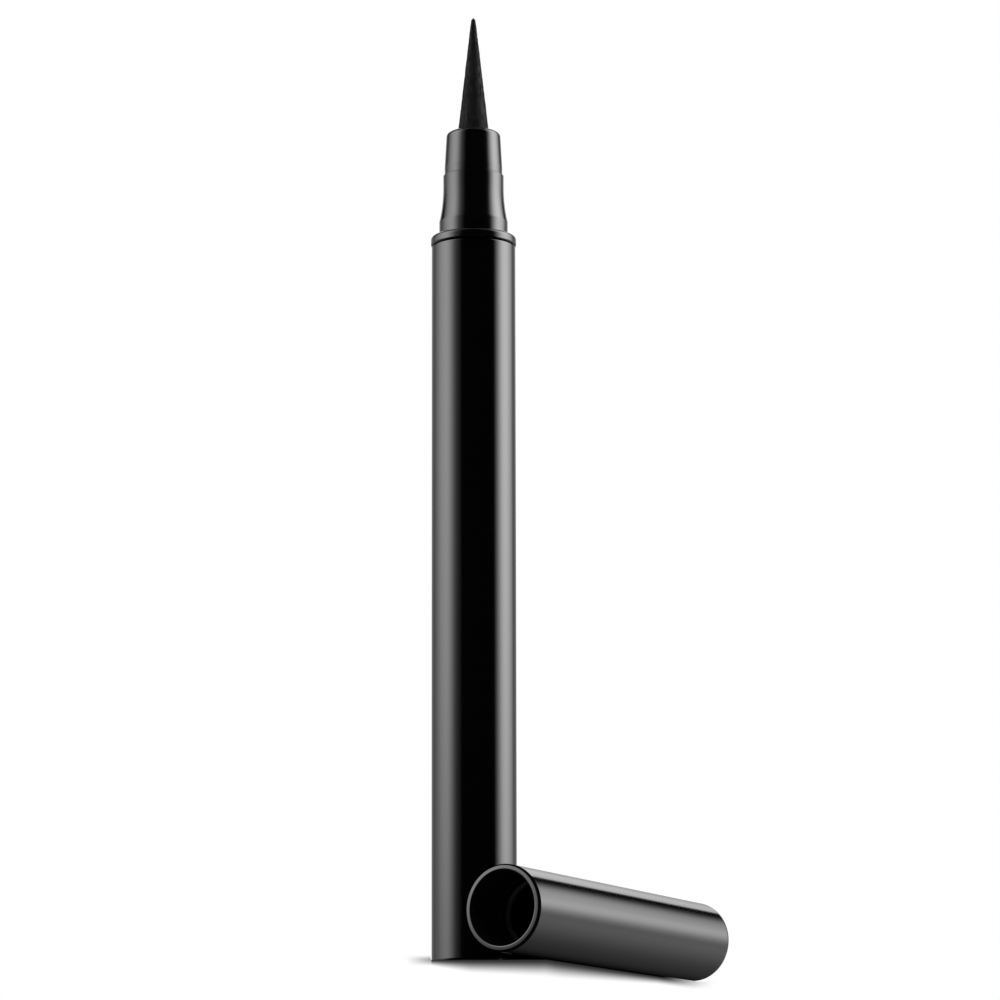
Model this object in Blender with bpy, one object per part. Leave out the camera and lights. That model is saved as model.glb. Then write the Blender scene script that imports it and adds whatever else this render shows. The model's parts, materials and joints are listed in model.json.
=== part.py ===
"""A felt-tip liquid eyeliner pen, standing uncapped with its cap lying beside it.

Units are metres and +Z is up. The origin is the centre of the pen's foot, on the surface that the
pen and the cap share. The pen stands along +Z. The cap lies along +Y beside it, its mouth at the
-Y end. Both are turned parts, so each piece is a profile of radius and height, spun about its axis.
"""
import math

import bmesh
import bpy
from mathutils import Matrix, Vector

# Fits that several pieces share
PRESS_GAP = 0.00020
SEAT_GAP = 0.00030
FINE_SEAM = 0.00010
CUT_OVERRUN = 0.00050

# Facets of the turned pieces, and of each rounded corner
OUTER_SIDES = 36
INNER_SIDES = 24
COLLECTOR_SIDES = 20
CORNER_STEPS = 3
FLARE_STEPS = 6
SMALL_ROUND = 0.00015

# Barrel
BARREL_DIAMETER = 0.01050
BARREL_LENGTH = 0.09020
BARREL_WALL = 0.00080
BARREL_FOOT_ROUND = 0.00025
BARREL_RIM_ROUND = 0.00010

# Tail plug, a cup pressed into the foot
PLUG_DEPTH = 0.00600
PLUG_FLOOR = 0.00120
PLUG_WALL = 0.00070
PLUG_RIB_COUNT = 3
PLUG_RIB_HEIGHT = 0.00015
PLUG_RIB_SHARE = 0.5

# Front section
FLANGE_DIAMETER = 0.01070
FLANGE_HEIGHT = 0.00110
FLANGE_ROUND = 0.00045
BAND_DIAMETER = 0.00860
BAND_HEIGHT = 0.00185
FLARE_HEIGHT = 0.00450
NECK_DIAMETER = 0.00760
NECK_HEIGHT = 0.00150
NECK_RIM_ROUND = 0.00015
NECK_WALL = 0.00075
SPIGOT_LENGTH = 0.01220
SPIGOT_WALL = 0.00065
SPIGOT_LEAD_IN = 0.00040
SHOULDER_RISE = 0.00070

# Nib holder, the nozzle above the step
HOLDER_DIAMETER = 0.00725
HOLDER_TIP_DIAMETER = 0.00675
HOLDER_HEIGHT = 0.00555
HOLDER_STRAIGHT = 0.00110
HOLDER_ROUND = 0.00060
HOLDER_SPIGOT_LENGTH = 0.00450
HOLDER_VENT_COUNT = 4
HOLDER_VENT_WIDTH = 0.00070
HOLDER_VENT_DEPTH = 0.00030

# Nib
NIB_DIAMETER = 0.00400
NIB_POINT_DIAMETER = 0.00046
NIB_REACH = 0.01500
NIB_SHANK_LENGTH = 0.00780
NIB_TAPER_START = 0.00050
NIB_BACK_CHAMFER = 0.00040

# Ink tank
TANK_SIDE_GAP = 0.00030
TANK_WALL = 0.00060
TANK_FLOOR = 0.00080
TANK_SHOULDER = 0.00090
TANK_RIM_ROUND = 0.00012

# Seal ring between the tank and the section
SEAL_THICKNESS = 0.00080
SEAL_ROUND = 0.00025
SEAL_WIDTH = 0.00085

# Mixing ball
BALL_DIAMETER = 0.00350
BALL_RINGS = 10

# Collector
COLLECTOR_CORE_DIAMETER = 0.00400
COLLECTOR_FIN_GAP = 0.00025
COLLECTOR_FIN_PITCH = 0.00110
LOWER_STAGE_LENGTH = 0.01050
FIN_SHARE = 0.5
COLLAR_OVERLAP = 0.00070
COLLECTOR_HEAD_LENGTH = 0.00060
COLLECTOR_NOSE_LENGTH = 0.00250
COLLECTOR_NOSE_DIAMETER = 0.00300
INK_SLIT_WIDTH = 0.00030
AIR_NOTCH_WIDTH = 0.00130
AIR_NOTCH_DEPTH = 0.00090

# Relay wick
WICK_DIAMETER = 0.00180
WICK_CLEARANCE = 0.00015
WICK_OVERHANG = 0.00120
WICK_CHAMFER = 0.00030

# Cap shell, measured along the cap's own axis from its mouth
CAP_LENGTH = 0.04510
CAP_MOUTH_DIAMETER = 0.01066
CAP_END_DIAMETER = 0.00990
CAP_WALL = 0.00076
CAP_END_WALL = 0.00120
CAP_MOUTH_ROUND = 0.00025
CAP_LEAD_IN = 0.00010
CAP_END_ROUND = 0.00110
CAP_BEAD_PLACE = 0.00640
CAP_BEAD_HEIGHT = 0.00046
CAP_BEAD_HALF_WIDTH = 0.00045
CAP_POST_DIAMETER = 0.00380
CAP_POST_LENGTH = 0.00300
CAP_POST_ROUND = 0.00040
CAP_GRIP_COUNT = 6
CAP_GRIP_WIDTH = 0.00060
CAP_GRIP_HEIGHT = 0.00018
CAP_GRIP_FRONT = 0.00035
CAP_GRIP_LENGTH = 0.00140

# Where the cap lies: how far its mouth reaches in front of the pen's axis, and the gap between them
CAP_MOUTH_REACH = 0.01030
CAP_SIDE_GAP = 0.00040

# Inner cap and its seal ring
INNER_CAP_FLANGE_HEIGHT = 0.00110
INNER_CAP_THROAT_DEPTH = 0.00640
INNER_CAP_THROAT_CLEARANCE = 0.00012
INNER_CAP_THROAT_WALL = 0.00042
INNER_CAP_BORE_DIAMETER = 0.00620
INNER_CAP_WALL = 0.00050
INNER_CAP_LENGTH = 0.02430
INNER_CAP_END_WALL = 0.00080
INNER_CAP_END_ROUND = 0.00060
INNER_CAP_RIB_COUNT = 4
INNER_CAP_RIB_WIDTH = 0.00060
INNER_CAP_RIB_HEIGHT = 0.00045
LIP_SEAL_THICKNESS = 0.00060
LIP_SEAL_CLEARANCE = 0.00005
LIP_SEAL_ROUND = 0.00015

# Cap spring
SPRING_WIRE_DIAMETER = 0.00045
SPRING_POST_CLEARANCE = 0.00040
SPRING_TURNS = 7
SPRING_POINTS_PER_TURN = 9
SPRING_BEVEL_RESOLUTION = 1

# Finishes: colour, roughness and metallic value
GLOSS_BLACK = ((0.010, 0.010, 0.011, 1.0), 0.16, 0.0)
SECTION_BLACK = ((0.012, 0.012, 0.013, 1.0), 0.22, 0.0)
FELT_BLACK = ((0.022, 0.022, 0.024, 1.0), 0.80, 0.0)
INNER_BLACK = ((0.016, 0.016, 0.017, 1.0), 0.45, 0.0)
TANK_CLEAR = ((0.780, 0.790, 0.780, 1.0), 0.30, 0.0)
FEED_WHITE = ((0.820, 0.820, 0.800, 1.0), 0.40, 0.0)
WICK_WHITE = ((0.720, 0.710, 0.680, 1.0), 0.90, 0.0)
SEAL_GREY = ((0.160, 0.160, 0.165, 1.0), 0.60, 0.0)
STEEL = ((0.560, 0.570, 0.580, 1.0), 0.25, 1.0)

# Radii of the pen's pieces, worked out from the barrel and the nib outwards
barrel_radius = BARREL_DIAMETER / 2
barrel_bore = barrel_radius - BARREL_WALL
flange_radius = FLANGE_DIAMETER / 2
band_radius = BAND_DIAMETER / 2
neck_radius = NECK_DIAMETER / 2
neck_bore = neck_radius - NECK_WALL
spigot_radius = barrel_bore - PRESS_GAP
spigot_bore = spigot_radius - SPIGOT_WALL
holder_radius = HOLDER_DIAMETER / 2
holder_tip_radius = HOLDER_TIP_DIAMETER / 2
nib_radius = NIB_DIAMETER / 2
holder_bore = nib_radius + PRESS_GAP
tank_radius = barrel_bore - TANK_SIDE_GAP
tank_bore = tank_radius - TANK_WALL
wick_radius = WICK_DIAMETER / 2

# Heights of the pen's pieces, from the foot up
flange_bottom = BARREL_LENGTH + SEAT_GAP
flange_top = flange_bottom + FLANGE_HEIGHT
band_top = flange_top + BAND_HEIGHT
flare_top = band_top + FLARE_HEIGHT
neck_top = flare_top + NECK_HEIGHT
holder_foot = neck_top + FINE_SEAM
holder_top = holder_foot + HOLDER_HEIGHT
holder_spigot_end = neck_top - HOLDER_SPIGOT_LENGTH
nib_point = holder_top + NIB_REACH
nib_back = holder_top - NIB_SHANK_LENGTH
spigot_end = flange_bottom - SPIGOT_LENGTH
section_shoulder = flange_bottom + SHOULDER_RISE
seal_top = spigot_end - FINE_SEAM
seal_bottom = seal_top - SEAL_THICKNESS
tank_top = seal_bottom - FINE_SEAM
tank_tail_bottom = PLUG_FLOOR + SEAT_GAP
tank_floor_top = tank_tail_bottom + TANK_FLOOR
tank_shoulder_bottom = PLUG_DEPTH + SEAT_GAP

# The collector hangs from its head, which seats under the section's shoulder. Its collar passes
# through the seal ring and reaches past it both ways
head_top = section_shoulder - SEAT_GAP
head_bottom = head_top - COLLECTOR_HEAD_LENGTH
upper_stage_bottom = seal_top + COLLAR_OVERLAP
collar_bottom = seal_bottom - COLLAR_OVERLAP
lower_stage_bottom = collar_bottom - LOWER_STAGE_LENGTH
nose_bottom = lower_stage_bottom - COLLECTOR_NOSE_LENGTH
collector_top = holder_spigot_end - SEAT_GAP
wick_top = nib_back - SEAT_GAP
wick_bottom = nose_bottom - WICK_OVERHANG

# The mixing ball rests in the tank and can rise to the end of the wick
ball_radius = BALL_DIAMETER / 2
ball_rest = tank_floor_top + SEAT_GAP + ball_radius

# The cap's own radii and places, counted from its mouth
cap_mouth_radius = CAP_MOUTH_DIAMETER / 2
cap_end_radius = CAP_END_DIAMETER / 2
cap_end_inside = CAP_LENGTH - CAP_END_WALL
cap_post_radius = CAP_POST_DIAMETER / 2
cap_lean = math.atan((cap_mouth_radius - cap_end_radius) / CAP_LENGTH)
lip_seal_front = CAP_BEAD_PLACE + CAP_BEAD_HALF_WIDTH + SEAT_GAP
inner_cap_front = lip_seal_front + LIP_SEAL_THICKNESS + FINE_SEAM
inner_cap_back = inner_cap_front + INNER_CAP_LENGTH
throat_radius = holder_radius + INNER_CAP_THROAT_CLEARANCE
nib_chamber_radius = INNER_CAP_BORE_DIAMETER / 2
spring_front = inner_cap_back + SEAT_GAP
spring_back = cap_end_inside - SEAT_GAP


def cap_outer_radius(place):
    """Radius of the cap's outside at a distance from its mouth."""
    return cap_mouth_radius + (cap_end_radius - cap_mouth_radius) * place / CAP_LENGTH


def cap_bore_radius(place):
    """Radius of the cap's bore, which tapers with its outside."""
    return cap_outer_radius(place) - CAP_WALL


def clear_scene():
    """Remove what the new scene starts with."""
    for item in list(bpy.data.objects):
        bpy.data.objects.remove(item, do_unlink=True)


def make_material(name, finish):
    """A Principled material from a colour, a roughness and a metallic value."""
    colour, roughness, metallic = finish
    material = bpy.data.materials.new(name)
    material.use_nodes = True
    shader = material.node_tree.nodes["Principled BSDF"]
    shader.inputs["Base Color"].default_value = colour
    shader.inputs["Roughness"].default_value = roughness
    shader.inputs["Metallic"].default_value = metallic
    material.diffuse_color = colour
    return material


def corner(radius, height, rounding=0.0):
    """One corner of a profile, with the radius that rounds it off."""
    return (radius, height, rounding)


def rounded_outline(corners, closed):
    """Profile points of the corners, each rounding an arc that is tangent to both sides.

    A rounding no larger than SMALL_ROUND is a plain chamfer.
    """
    points = []
    count = len(corners)
    for index, (radius, height, rounding) in enumerate(corners):
        here = Vector((radius, height))
        at_end = not closed and index in (0, count - 1)
        if rounding == 0.0 or at_end:
            points.append(here)
            continue
        before = Vector(corners[index - 1][:2]) - here
        after = Vector(corners[(index + 1) % count][:2]) - here
        half_angle = before.angle(after) / 2
        reach = rounding / math.tan(half_angle)
        reach = min(reach, before.length / 2, after.length / 2)
        arc_radius = reach * math.tan(half_angle)
        bisector = (before.normalized() + after.normalized()).normalized()
        centre = here + bisector * (arc_radius / math.sin(half_angle))
        start = here + before.normalized() * reach - centre
        finish = here + after.normalized() * reach - centre
        turn = start.angle_signed(finish)
        steps = 1 if rounding <= SMALL_ROUND else CORNER_STEPS
        for step in range(steps + 1):
            spun = start.copy()
            spun.rotate(Matrix.Rotation(-turn * step / steps, 2))
            points.append(centre + spun)
    return points


def link_mesh(name, mesh_data, material, parent=None):
    """Put a finished mesh in the scene as one named piece."""
    piece = bpy.data.objects.new(name, mesh_data)
    bpy.context.scene.collection.objects.link(piece)
    mesh_data.materials.append(material)
    piece.parent = parent
    return piece


def turned_mesh(name, points, sides, closed):
    """Spin a profile about the Z axis into one closed body."""
    shape = bmesh.new()
    ring = [shape.verts.new((point.x, 0.0, point.y)) for point in points]
    edges = [shape.edges.new(pair) for pair in zip(ring, ring[1:])]
    if closed:
        edges.append(shape.edges.new((ring[-1], ring[0])))
    bmesh.ops.spin(shape, geom=ring + edges, cent=(0, 0, 0), axis=(0, 0, 1), angle=math.tau,
                   steps=sides, use_merge=True)
    bmesh.ops.remove_doubles(shape, verts=shape.verts, dist=FINE_SEAM / 1000)
    bmesh.ops.dissolve_degenerate(shape, dist=FINE_SEAM / 1000, edges=shape.edges)
    bmesh.ops.recalc_face_normals(shape, faces=shape.faces)
    mesh_data = bpy.data.meshes.new(name)
    shape.to_mesh(mesh_data)
    shape.free()
    mesh_data.shade_smooth()
    mesh_data.set_sharp_from_angle(angle=math.radians(30))
    return mesh_data


def turned_ring(name, corners, sides, material, parent=None):
    """A turned piece with a bore: its profile is a closed loop of corners."""
    points = rounded_outline(corners, closed=True)
    return link_mesh(name, turned_mesh(name, points, sides, True), material, parent)


def turned_solid(name, corners, sides, material, parent=None):
    """A turned piece without a bore through it: its profile starts and ends on the axis."""
    points = rounded_outline(corners, closed=False)
    return link_mesh(name, turned_mesh(name, points, sides, False), material, parent)


def block_mesh(name, low, high):
    """A box between two corners."""
    shape = bmesh.new()
    bmesh.ops.create_cube(shape, size=1.0)
    for vert in shape.verts:
        for axis in range(3):
            vert.co[axis] = high[axis] if vert.co[axis] > 0 else low[axis]
    mesh_data = bpy.data.meshes.new(name)
    shape.to_mesh(mesh_data)
    shape.free()
    return mesh_data


def radial_blocks(name, inner, outer, width, bottom, top, count, parent=None):
    """One object of equal blocks spaced round the Z axis, from one radius to another."""
    shape = bmesh.new()
    for index in range(count):
        block = block_mesh(name, (inner, -width / 2, bottom), (outer, width / 2, top))
        block.transform(Matrix.Rotation(math.tau * index / count, 4, "Z"))
        shape.from_mesh(block)
        bpy.data.meshes.remove(block)
    mesh_data = bpy.data.meshes.new(name)
    shape.to_mesh(mesh_data)
    shape.free()
    guide = bpy.data.objects.new(name, mesh_data)
    bpy.context.scene.collection.objects.link(guide)
    guide.parent = parent
    guide.hide_render = True
    guide.display_type = "WIRE"
    return guide


def combine(piece, tool, operation):
    """Cut a guide from a piece, or join it on, exactly."""
    modifier = piece.modifiers.new(tool.name, "BOOLEAN")
    modifier.operation = operation
    modifier.object = tool
    modifier.solver = "EXACT"


def make_barrel(finish):
    """Outer tube, open at both ends, its foot lightly rounded."""
    turned_ring("barrel", [
        corner(barrel_bore, 0.0, BARREL_RIM_ROUND),
        corner(barrel_radius, 0.0, BARREL_FOOT_ROUND),
        corner(barrel_radius, BARREL_LENGTH, BARREL_RIM_ROUND),
        corner(barrel_bore, BARREL_LENGTH),
    ], OUTER_SIDES, finish)


def make_tail_plug(finish):
    """Cup that closes the barrel's foot, with grip ribs round its skirt."""
    rib_radius = barrel_bore - PRESS_GAP
    skirt_radius = rib_radius - PLUG_RIB_HEIGHT
    cup_radius = skirt_radius - PLUG_WALL
    rib_pitch = (PLUG_DEPTH - PLUG_FLOOR) / (PLUG_RIB_COUNT + 1)
    corners = [
        corner(0.0, 0.0),
        corner(rib_radius, 0.0, FINE_SEAM),
        corner(rib_radius, PLUG_FLOOR),
        corner(skirt_radius, PLUG_FLOOR),
    ]
    for rib in range(PLUG_RIB_COUNT):
        middle = PLUG_FLOOR + rib_pitch * (rib + 1)
        half = rib_pitch * PLUG_RIB_SHARE / 2
        corners += [
            corner(skirt_radius, middle - half),
            corner(rib_radius, middle),
            corner(skirt_radius, middle + half),
        ]
    corners += [
        corner(skirt_radius, PLUG_DEPTH, FINE_SEAM),
        corner(cup_radius, PLUG_DEPTH),
        corner(cup_radius, PLUG_FLOOR),
        corner(0.0, PLUG_FLOOR),
    ]
    turned_solid("tail_plug", corners, INNER_SIDES, finish)


def make_ink_tank(finish):
    """Bottle for the ink: a narrow tail in the plug, a shoulder, and an open rim."""
    tail_radius = barrel_bore - PRESS_GAP - PLUG_RIB_HEIGHT - PLUG_WALL - PRESS_GAP
    tail_bore = tail_radius - TANK_WALL
    shoulder_top = tank_shoulder_bottom + TANK_SHOULDER
    turned_solid("ink_tank", [
        corner(0.0, tank_tail_bottom),
        corner(tail_radius, tank_tail_bottom, TANK_FLOOR / 2),
        corner(tail_radius, tank_shoulder_bottom),
        corner(tank_radius, shoulder_top),
        corner(tank_radius, tank_top, TANK_RIM_ROUND),
        corner(tank_bore, tank_top, TANK_RIM_ROUND),
        corner(tank_bore, shoulder_top + TANK_WALL / 2),
        corner(tail_bore, tank_shoulder_bottom + TANK_WALL / 2),
        corner(tail_bore, tank_floor_top),
        corner(0.0, tank_floor_top),
    ], INNER_SIDES, finish)


def make_tank_seal(finish):
    """Soft ring squeezed between the tank's rim and the section's spigot."""
    outer = spigot_radius
    inner = outer - SEAL_WIDTH
    turned_ring("tank_seal", [
        corner(inner, seal_bottom, SEAL_ROUND),
        corner(outer, seal_bottom, SEAL_ROUND),
        corner(outer, seal_top, SEAL_ROUND),
        corner(inner, seal_top, SEAL_ROUND),
    ], INNER_SIDES, finish)


def make_mixing_ball(finish):
    """Steel ball resting at the bottom of the tank."""
    shape = bmesh.new()
    bmesh.ops.create_uvsphere(shape, u_segments=INNER_SIDES, v_segments=BALL_RINGS, radius=ball_radius)
    mesh_data = bpy.data.meshes.new("mixing_ball")
    shape.to_mesh(mesh_data)
    shape.free()
    mesh_data.shade_smooth()
    ball = link_mesh("mixing_ball", mesh_data, finish)
    ball.location = (0, 0, ball_rest)


def fin_corners(outer, core, top, bottom):
    """Corners of a stack of fins, from its top to its bottom."""
    count = max(1, round((top - bottom) / COLLECTOR_FIN_PITCH))
    pitch = (top - bottom) / count
    corners = []
    for fin in range(count):
        fin_top = top - pitch * (fin + 1 - FIN_SHARE)
        fin_bottom = top - pitch * (fin + 1)
        corners += [corner(core, fin_top), corner(outer, fin_top), corner(outer, fin_bottom)]
        if fin + 1 < count:
            corners.append(corner(core, fin_bottom))
    return corners


def make_collector(finish):
    """Finned feed: two stacks of fins on a bored core, cut by an ink slit and an air notch."""
    core = COLLECTOR_CORE_DIAMETER / 2
    bore = wick_radius + WICK_CLEARANCE
    upper_fin = spigot_bore - COLLECTOR_FIN_GAP
    lower_fin = tank_bore - COLLECTOR_FIN_GAP
    collar = spigot_radius - SEAL_WIDTH - PRESS_GAP
    neck = neck_bore - COLLECTOR_FIN_GAP
    nose = COLLECTOR_NOSE_DIAMETER / 2
    corners = [
        corner(bore, collector_top),
        corner(neck, collector_top, FINE_SEAM),
        corner(neck, head_top),
        corner(upper_fin, head_top, FINE_SEAM),
        corner(upper_fin, head_bottom),
        corner(core, head_bottom),
    ]
    corners += fin_corners(upper_fin, core, head_bottom, upper_stage_bottom)
    corners += [corner(collar, upper_stage_bottom), corner(collar, collar_bottom), corner(core, collar_bottom)]
    corners += fin_corners(lower_fin, core, collar_bottom, lower_stage_bottom)
    corners += [
        corner(core, lower_stage_bottom),
        corner(nose, nose_bottom, FINE_SEAM),
        corner(bore, nose_bottom),
    ]
    collector = turned_ring("collector", corners, COLLECTOR_SIDES, finish)
    ink_slit = radial_blocks("ink_slit_guide", 0.0, upper_fin + CUT_OVERRUN, INK_SLIT_WIDTH,
                             lower_stage_bottom - CUT_OVERRUN, head_bottom, 1)
    notch_floor = lower_fin - AIR_NOTCH_DEPTH
    air_notch = radial_blocks("air_notch_guide", -(upper_fin + CUT_OVERRUN), -notch_floor,
                              AIR_NOTCH_WIDTH, lower_stage_bottom - CUT_OVERRUN,
                              head_top + CUT_OVERRUN, 1)
    combine(collector, ink_slit, "DIFFERENCE")
    combine(collector, air_notch, "DIFFERENCE")


def make_relay_wick(finish):
    """Fibre rod from the tank, up through the collector, to the back of the nib."""
    turned_solid("relay_wick", [
        corner(0.0, wick_bottom),
        corner(wick_radius - WICK_CHAMFER, wick_bottom),
        corner(wick_radius, wick_bottom + WICK_CHAMFER),
        corner(wick_radius, wick_top - WICK_CHAMFER),
        corner(wick_radius - WICK_CHAMFER, wick_top),
        corner(0.0, wick_top),
    ], INNER_SIDES, finish)


def flare_corners():
    """Concave flare from the grip band up to the neck, a parabola in height."""
    corners = []
    for step in range(1, FLARE_STEPS + 1):
        share = step / FLARE_STEPS
        radius = neck_radius + (band_radius - neck_radius) * (1 - share) ** 2
        corners.append(corner(radius, band_top + FLARE_HEIGHT * share))
    return corners


def make_section(finish):
    """Front section: spigot, flange, grip band, flare and neck, bored for the collector."""
    corners = [
        corner(spigot_bore, spigot_end),
        corner(spigot_radius - SPIGOT_LEAD_IN / 2, spigot_end),
        corner(spigot_radius, spigot_end + SPIGOT_LEAD_IN),
        corner(spigot_radius, flange_bottom),
        corner(flange_radius, flange_bottom, FINE_SEAM),
        corner(flange_radius, flange_top, FLANGE_ROUND),
        corner(band_radius, flange_top, FINE_SEAM),
        corner(band_radius, band_top),
    ]
    corners += flare_corners()
    corners += [
        corner(neck_radius, neck_top, NECK_RIM_ROUND),
        corner(neck_bore, neck_top),
        corner(neck_bore, section_shoulder),
        corner(spigot_bore, section_shoulder),
    ]
    turned_ring("section", corners, OUTER_SIDES, finish)


def make_nib_holder(finish):
    """Nozzle that grips the nib, with air vents cut into its bore at the top."""
    holder = turned_ring("nib_holder", [
        corner(holder_bore, holder_spigot_end),
        corner(neck_bore - PRESS_GAP, holder_spigot_end, FINE_SEAM),
        corner(neck_bore - PRESS_GAP, holder_foot),
        corner(holder_radius, holder_foot),
        corner(holder_radius, holder_foot + HOLDER_STRAIGHT),
        corner(holder_tip_radius, holder_top, HOLDER_ROUND),
        corner(holder_bore, holder_top, FINE_SEAM),
    ], OUTER_SIDES, finish)
    vents = radial_blocks("holder_vent_guide", 0.0, holder_bore + HOLDER_VENT_DEPTH,
                          HOLDER_VENT_WIDTH, holder_spigot_end - CUT_OVERRUN,
                          holder_top + CUT_OVERRUN, HOLDER_VENT_COUNT)
    combine(holder, vents, "DIFFERENCE")


def make_nib(finish):
    """Felt nib: a straight shank in the holder, then a long straight taper to a fine point."""
    point_radius = NIB_POINT_DIAMETER / 2
    turned_solid("nib", [
        corner(0.0, nib_back),
        corner(nib_radius - NIB_BACK_CHAMFER, nib_back),
        corner(nib_radius, nib_back + NIB_BACK_CHAMFER),
        corner(nib_radius, holder_top - NIB_TAPER_START),
        corner(point_radius, nib_point - point_radius, point_radius),
        corner(0.0, nib_point),
    ], INNER_SIDES, finish)


def make_cap_place():
    """Empty at the middle of the cap's mouth, its Z axis along the cap towards the closed end."""
    place = bpy.data.objects.new("cap_place", None)
    bpy.context.scene.collection.objects.link(place)
    radius_beside_pen = cap_outer_radius(CAP_MOUTH_REACH)
    place.location = (barrel_radius + CAP_SIDE_GAP + radius_beside_pen, -CAP_MOUTH_REACH,
                      cap_mouth_radius * math.cos(cap_lean))
    place.rotation_euler = (-(math.pi / 2 + cap_lean), 0, 0)
    return place


def make_cap_shell(finish, place):
    """Tapered cap: grip ribs for the band, a bead that keeps the inner cap, and a spring post."""
    bead_front = CAP_BEAD_PLACE - CAP_BEAD_HALF_WIDTH
    bead_back = CAP_BEAD_PLACE + CAP_BEAD_HALF_WIDTH
    shell = turned_solid("cap_shell", [
        corner(0.0, CAP_LENGTH),
        corner(cap_end_radius, CAP_LENGTH, CAP_END_ROUND),
        corner(cap_mouth_radius, 0.0, CAP_MOUTH_ROUND),
        corner(cap_bore_radius(0.0), 0.0, CAP_LEAD_IN),
        corner(cap_bore_radius(bead_front), bead_front),
        corner(cap_bore_radius(CAP_BEAD_PLACE) - CAP_BEAD_HEIGHT, CAP_BEAD_PLACE),
        corner(cap_bore_radius(bead_back), bead_back),
        corner(cap_bore_radius(cap_end_inside), cap_end_inside, CAP_POST_ROUND),
        corner(cap_post_radius, cap_end_inside),
        corner(cap_post_radius, cap_end_inside - CAP_POST_LENGTH, CAP_POST_ROUND),
        corner(0.0, cap_end_inside - CAP_POST_LENGTH),
    ], OUTER_SIDES, finish, place)
    bore = cap_bore_radius(CAP_GRIP_FRONT)
    grips = radial_blocks("cap_grip_guide", bore - CAP_GRIP_HEIGHT, bore + CAP_WALL / 2, CAP_GRIP_WIDTH,
                          CAP_GRIP_FRONT, CAP_GRIP_FRONT + CAP_GRIP_LENGTH, CAP_GRIP_COUNT, place)
    combine(shell, grips, "UNION")


def make_inner_cap(finish, place):
    """Sprung cup: a flange behind the seal ring, a throat, a nib chamber and guide ribs."""
    flange_back = inner_cap_front + INNER_CAP_FLANGE_HEIGHT
    throat_back = inner_cap_front + INNER_CAP_THROAT_DEPTH
    throat_outer = throat_radius + INNER_CAP_THROAT_WALL
    chamber_outer = nib_chamber_radius + INNER_CAP_WALL
    throat_end = throat_back + INNER_CAP_WALL
    flange_outer = cap_bore_radius(flange_back) - PRESS_GAP
    cup = turned_solid("inner_cap", [
        corner(0.0, inner_cap_back),
        corner(chamber_outer, inner_cap_back, INNER_CAP_END_ROUND),
        corner(chamber_outer, throat_end),
        corner(throat_outer, throat_back),
        corner(throat_outer, flange_back),
        corner(flange_outer, flange_back, FINE_SEAM),
        corner(flange_outer, inner_cap_front, FINE_SEAM),
        corner(throat_radius, inner_cap_front),
        corner(throat_radius, throat_back - INNER_CAP_WALL),
        corner(nib_chamber_radius, throat_back),
        corner(nib_chamber_radius, inner_cap_back - INNER_CAP_END_WALL),
        corner(0.0, inner_cap_back - INNER_CAP_END_WALL),
    ], INNER_SIDES, finish, place)
    ribs = radial_blocks("inner_cap_rib_guide", chamber_outer - INNER_CAP_WALL / 2,
                         chamber_outer + INNER_CAP_RIB_HEIGHT, INNER_CAP_RIB_WIDTH,
                         throat_end, inner_cap_back - INNER_CAP_END_ROUND,
                         INNER_CAP_RIB_COUNT, place)
    combine(cup, ribs, "UNION")


def make_inner_cap_seal(finish, place):
    """Soft ring on the inner cap's mouth, which closes on the section's step."""
    outer = cap_bore_radius(inner_cap_front) - PRESS_GAP
    inner = holder_radius + LIP_SEAL_CLEARANCE
    back = lip_seal_front + LIP_SEAL_THICKNESS
    turned_ring("inner_cap_seal", [
        corner(inner, lip_seal_front, LIP_SEAL_ROUND),
        corner(outer, lip_seal_front, LIP_SEAL_ROUND),
        corner(outer, back, LIP_SEAL_ROUND),
        corner(inner, back, LIP_SEAL_ROUND),
    ], INNER_SIDES, finish, place)


def least_self_gap(points, diameter, points_per_turn):
    """Least clear distance between stretches of a coil that are at least half a turn apart."""
    least = math.inf
    for first, here in enumerate(points):
        for there in points[first + points_per_turn // 2:]:
            least = min(least, (here - there).length - diameter)
    return least


def make_cap_spring(finish, place):
    """Open coil between the inner cap and the cap's end wall, round the spring post."""
    wire_radius = SPRING_WIRE_DIAMETER / 2
    coil_radius = cap_post_radius + SPRING_POST_CLEARANCE + wire_radius
    front = spring_front + wire_radius
    length = spring_back - wire_radius - front
    steps = SPRING_TURNS * SPRING_POINTS_PER_TURN
    points = []
    for step in range(steps + 1):
        angle = math.tau * step / SPRING_POINTS_PER_TURN
        points.append(Vector((coil_radius * math.cos(angle), coil_radius * math.sin(angle),
                              front + length * step / steps)))
    gap = least_self_gap(points, SPRING_WIRE_DIAMETER, SPRING_POINTS_PER_TURN)
    print(f"cap_spring: least gap between turns {gap * 1000:.2f} mm")
    curve = bpy.data.curves.new("cap_spring", "CURVE")
    curve.dimensions = "3D"
    curve.bevel_depth = wire_radius
    curve.bevel_resolution = SPRING_BEVEL_RESOLUTION
    curve.use_fill_caps = True
    spline = curve.splines.new("POLY")
    spline.points.add(len(points) - 1)
    for target, point in zip(spline.points, points):
        target.co = (point.x, point.y, point.z, 1.0)
    spring = bpy.data.objects.new("cap_spring", curve)
    bpy.context.scene.collection.objects.link(spring)
    curve.materials.append(finish)
    spring.parent = place


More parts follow.
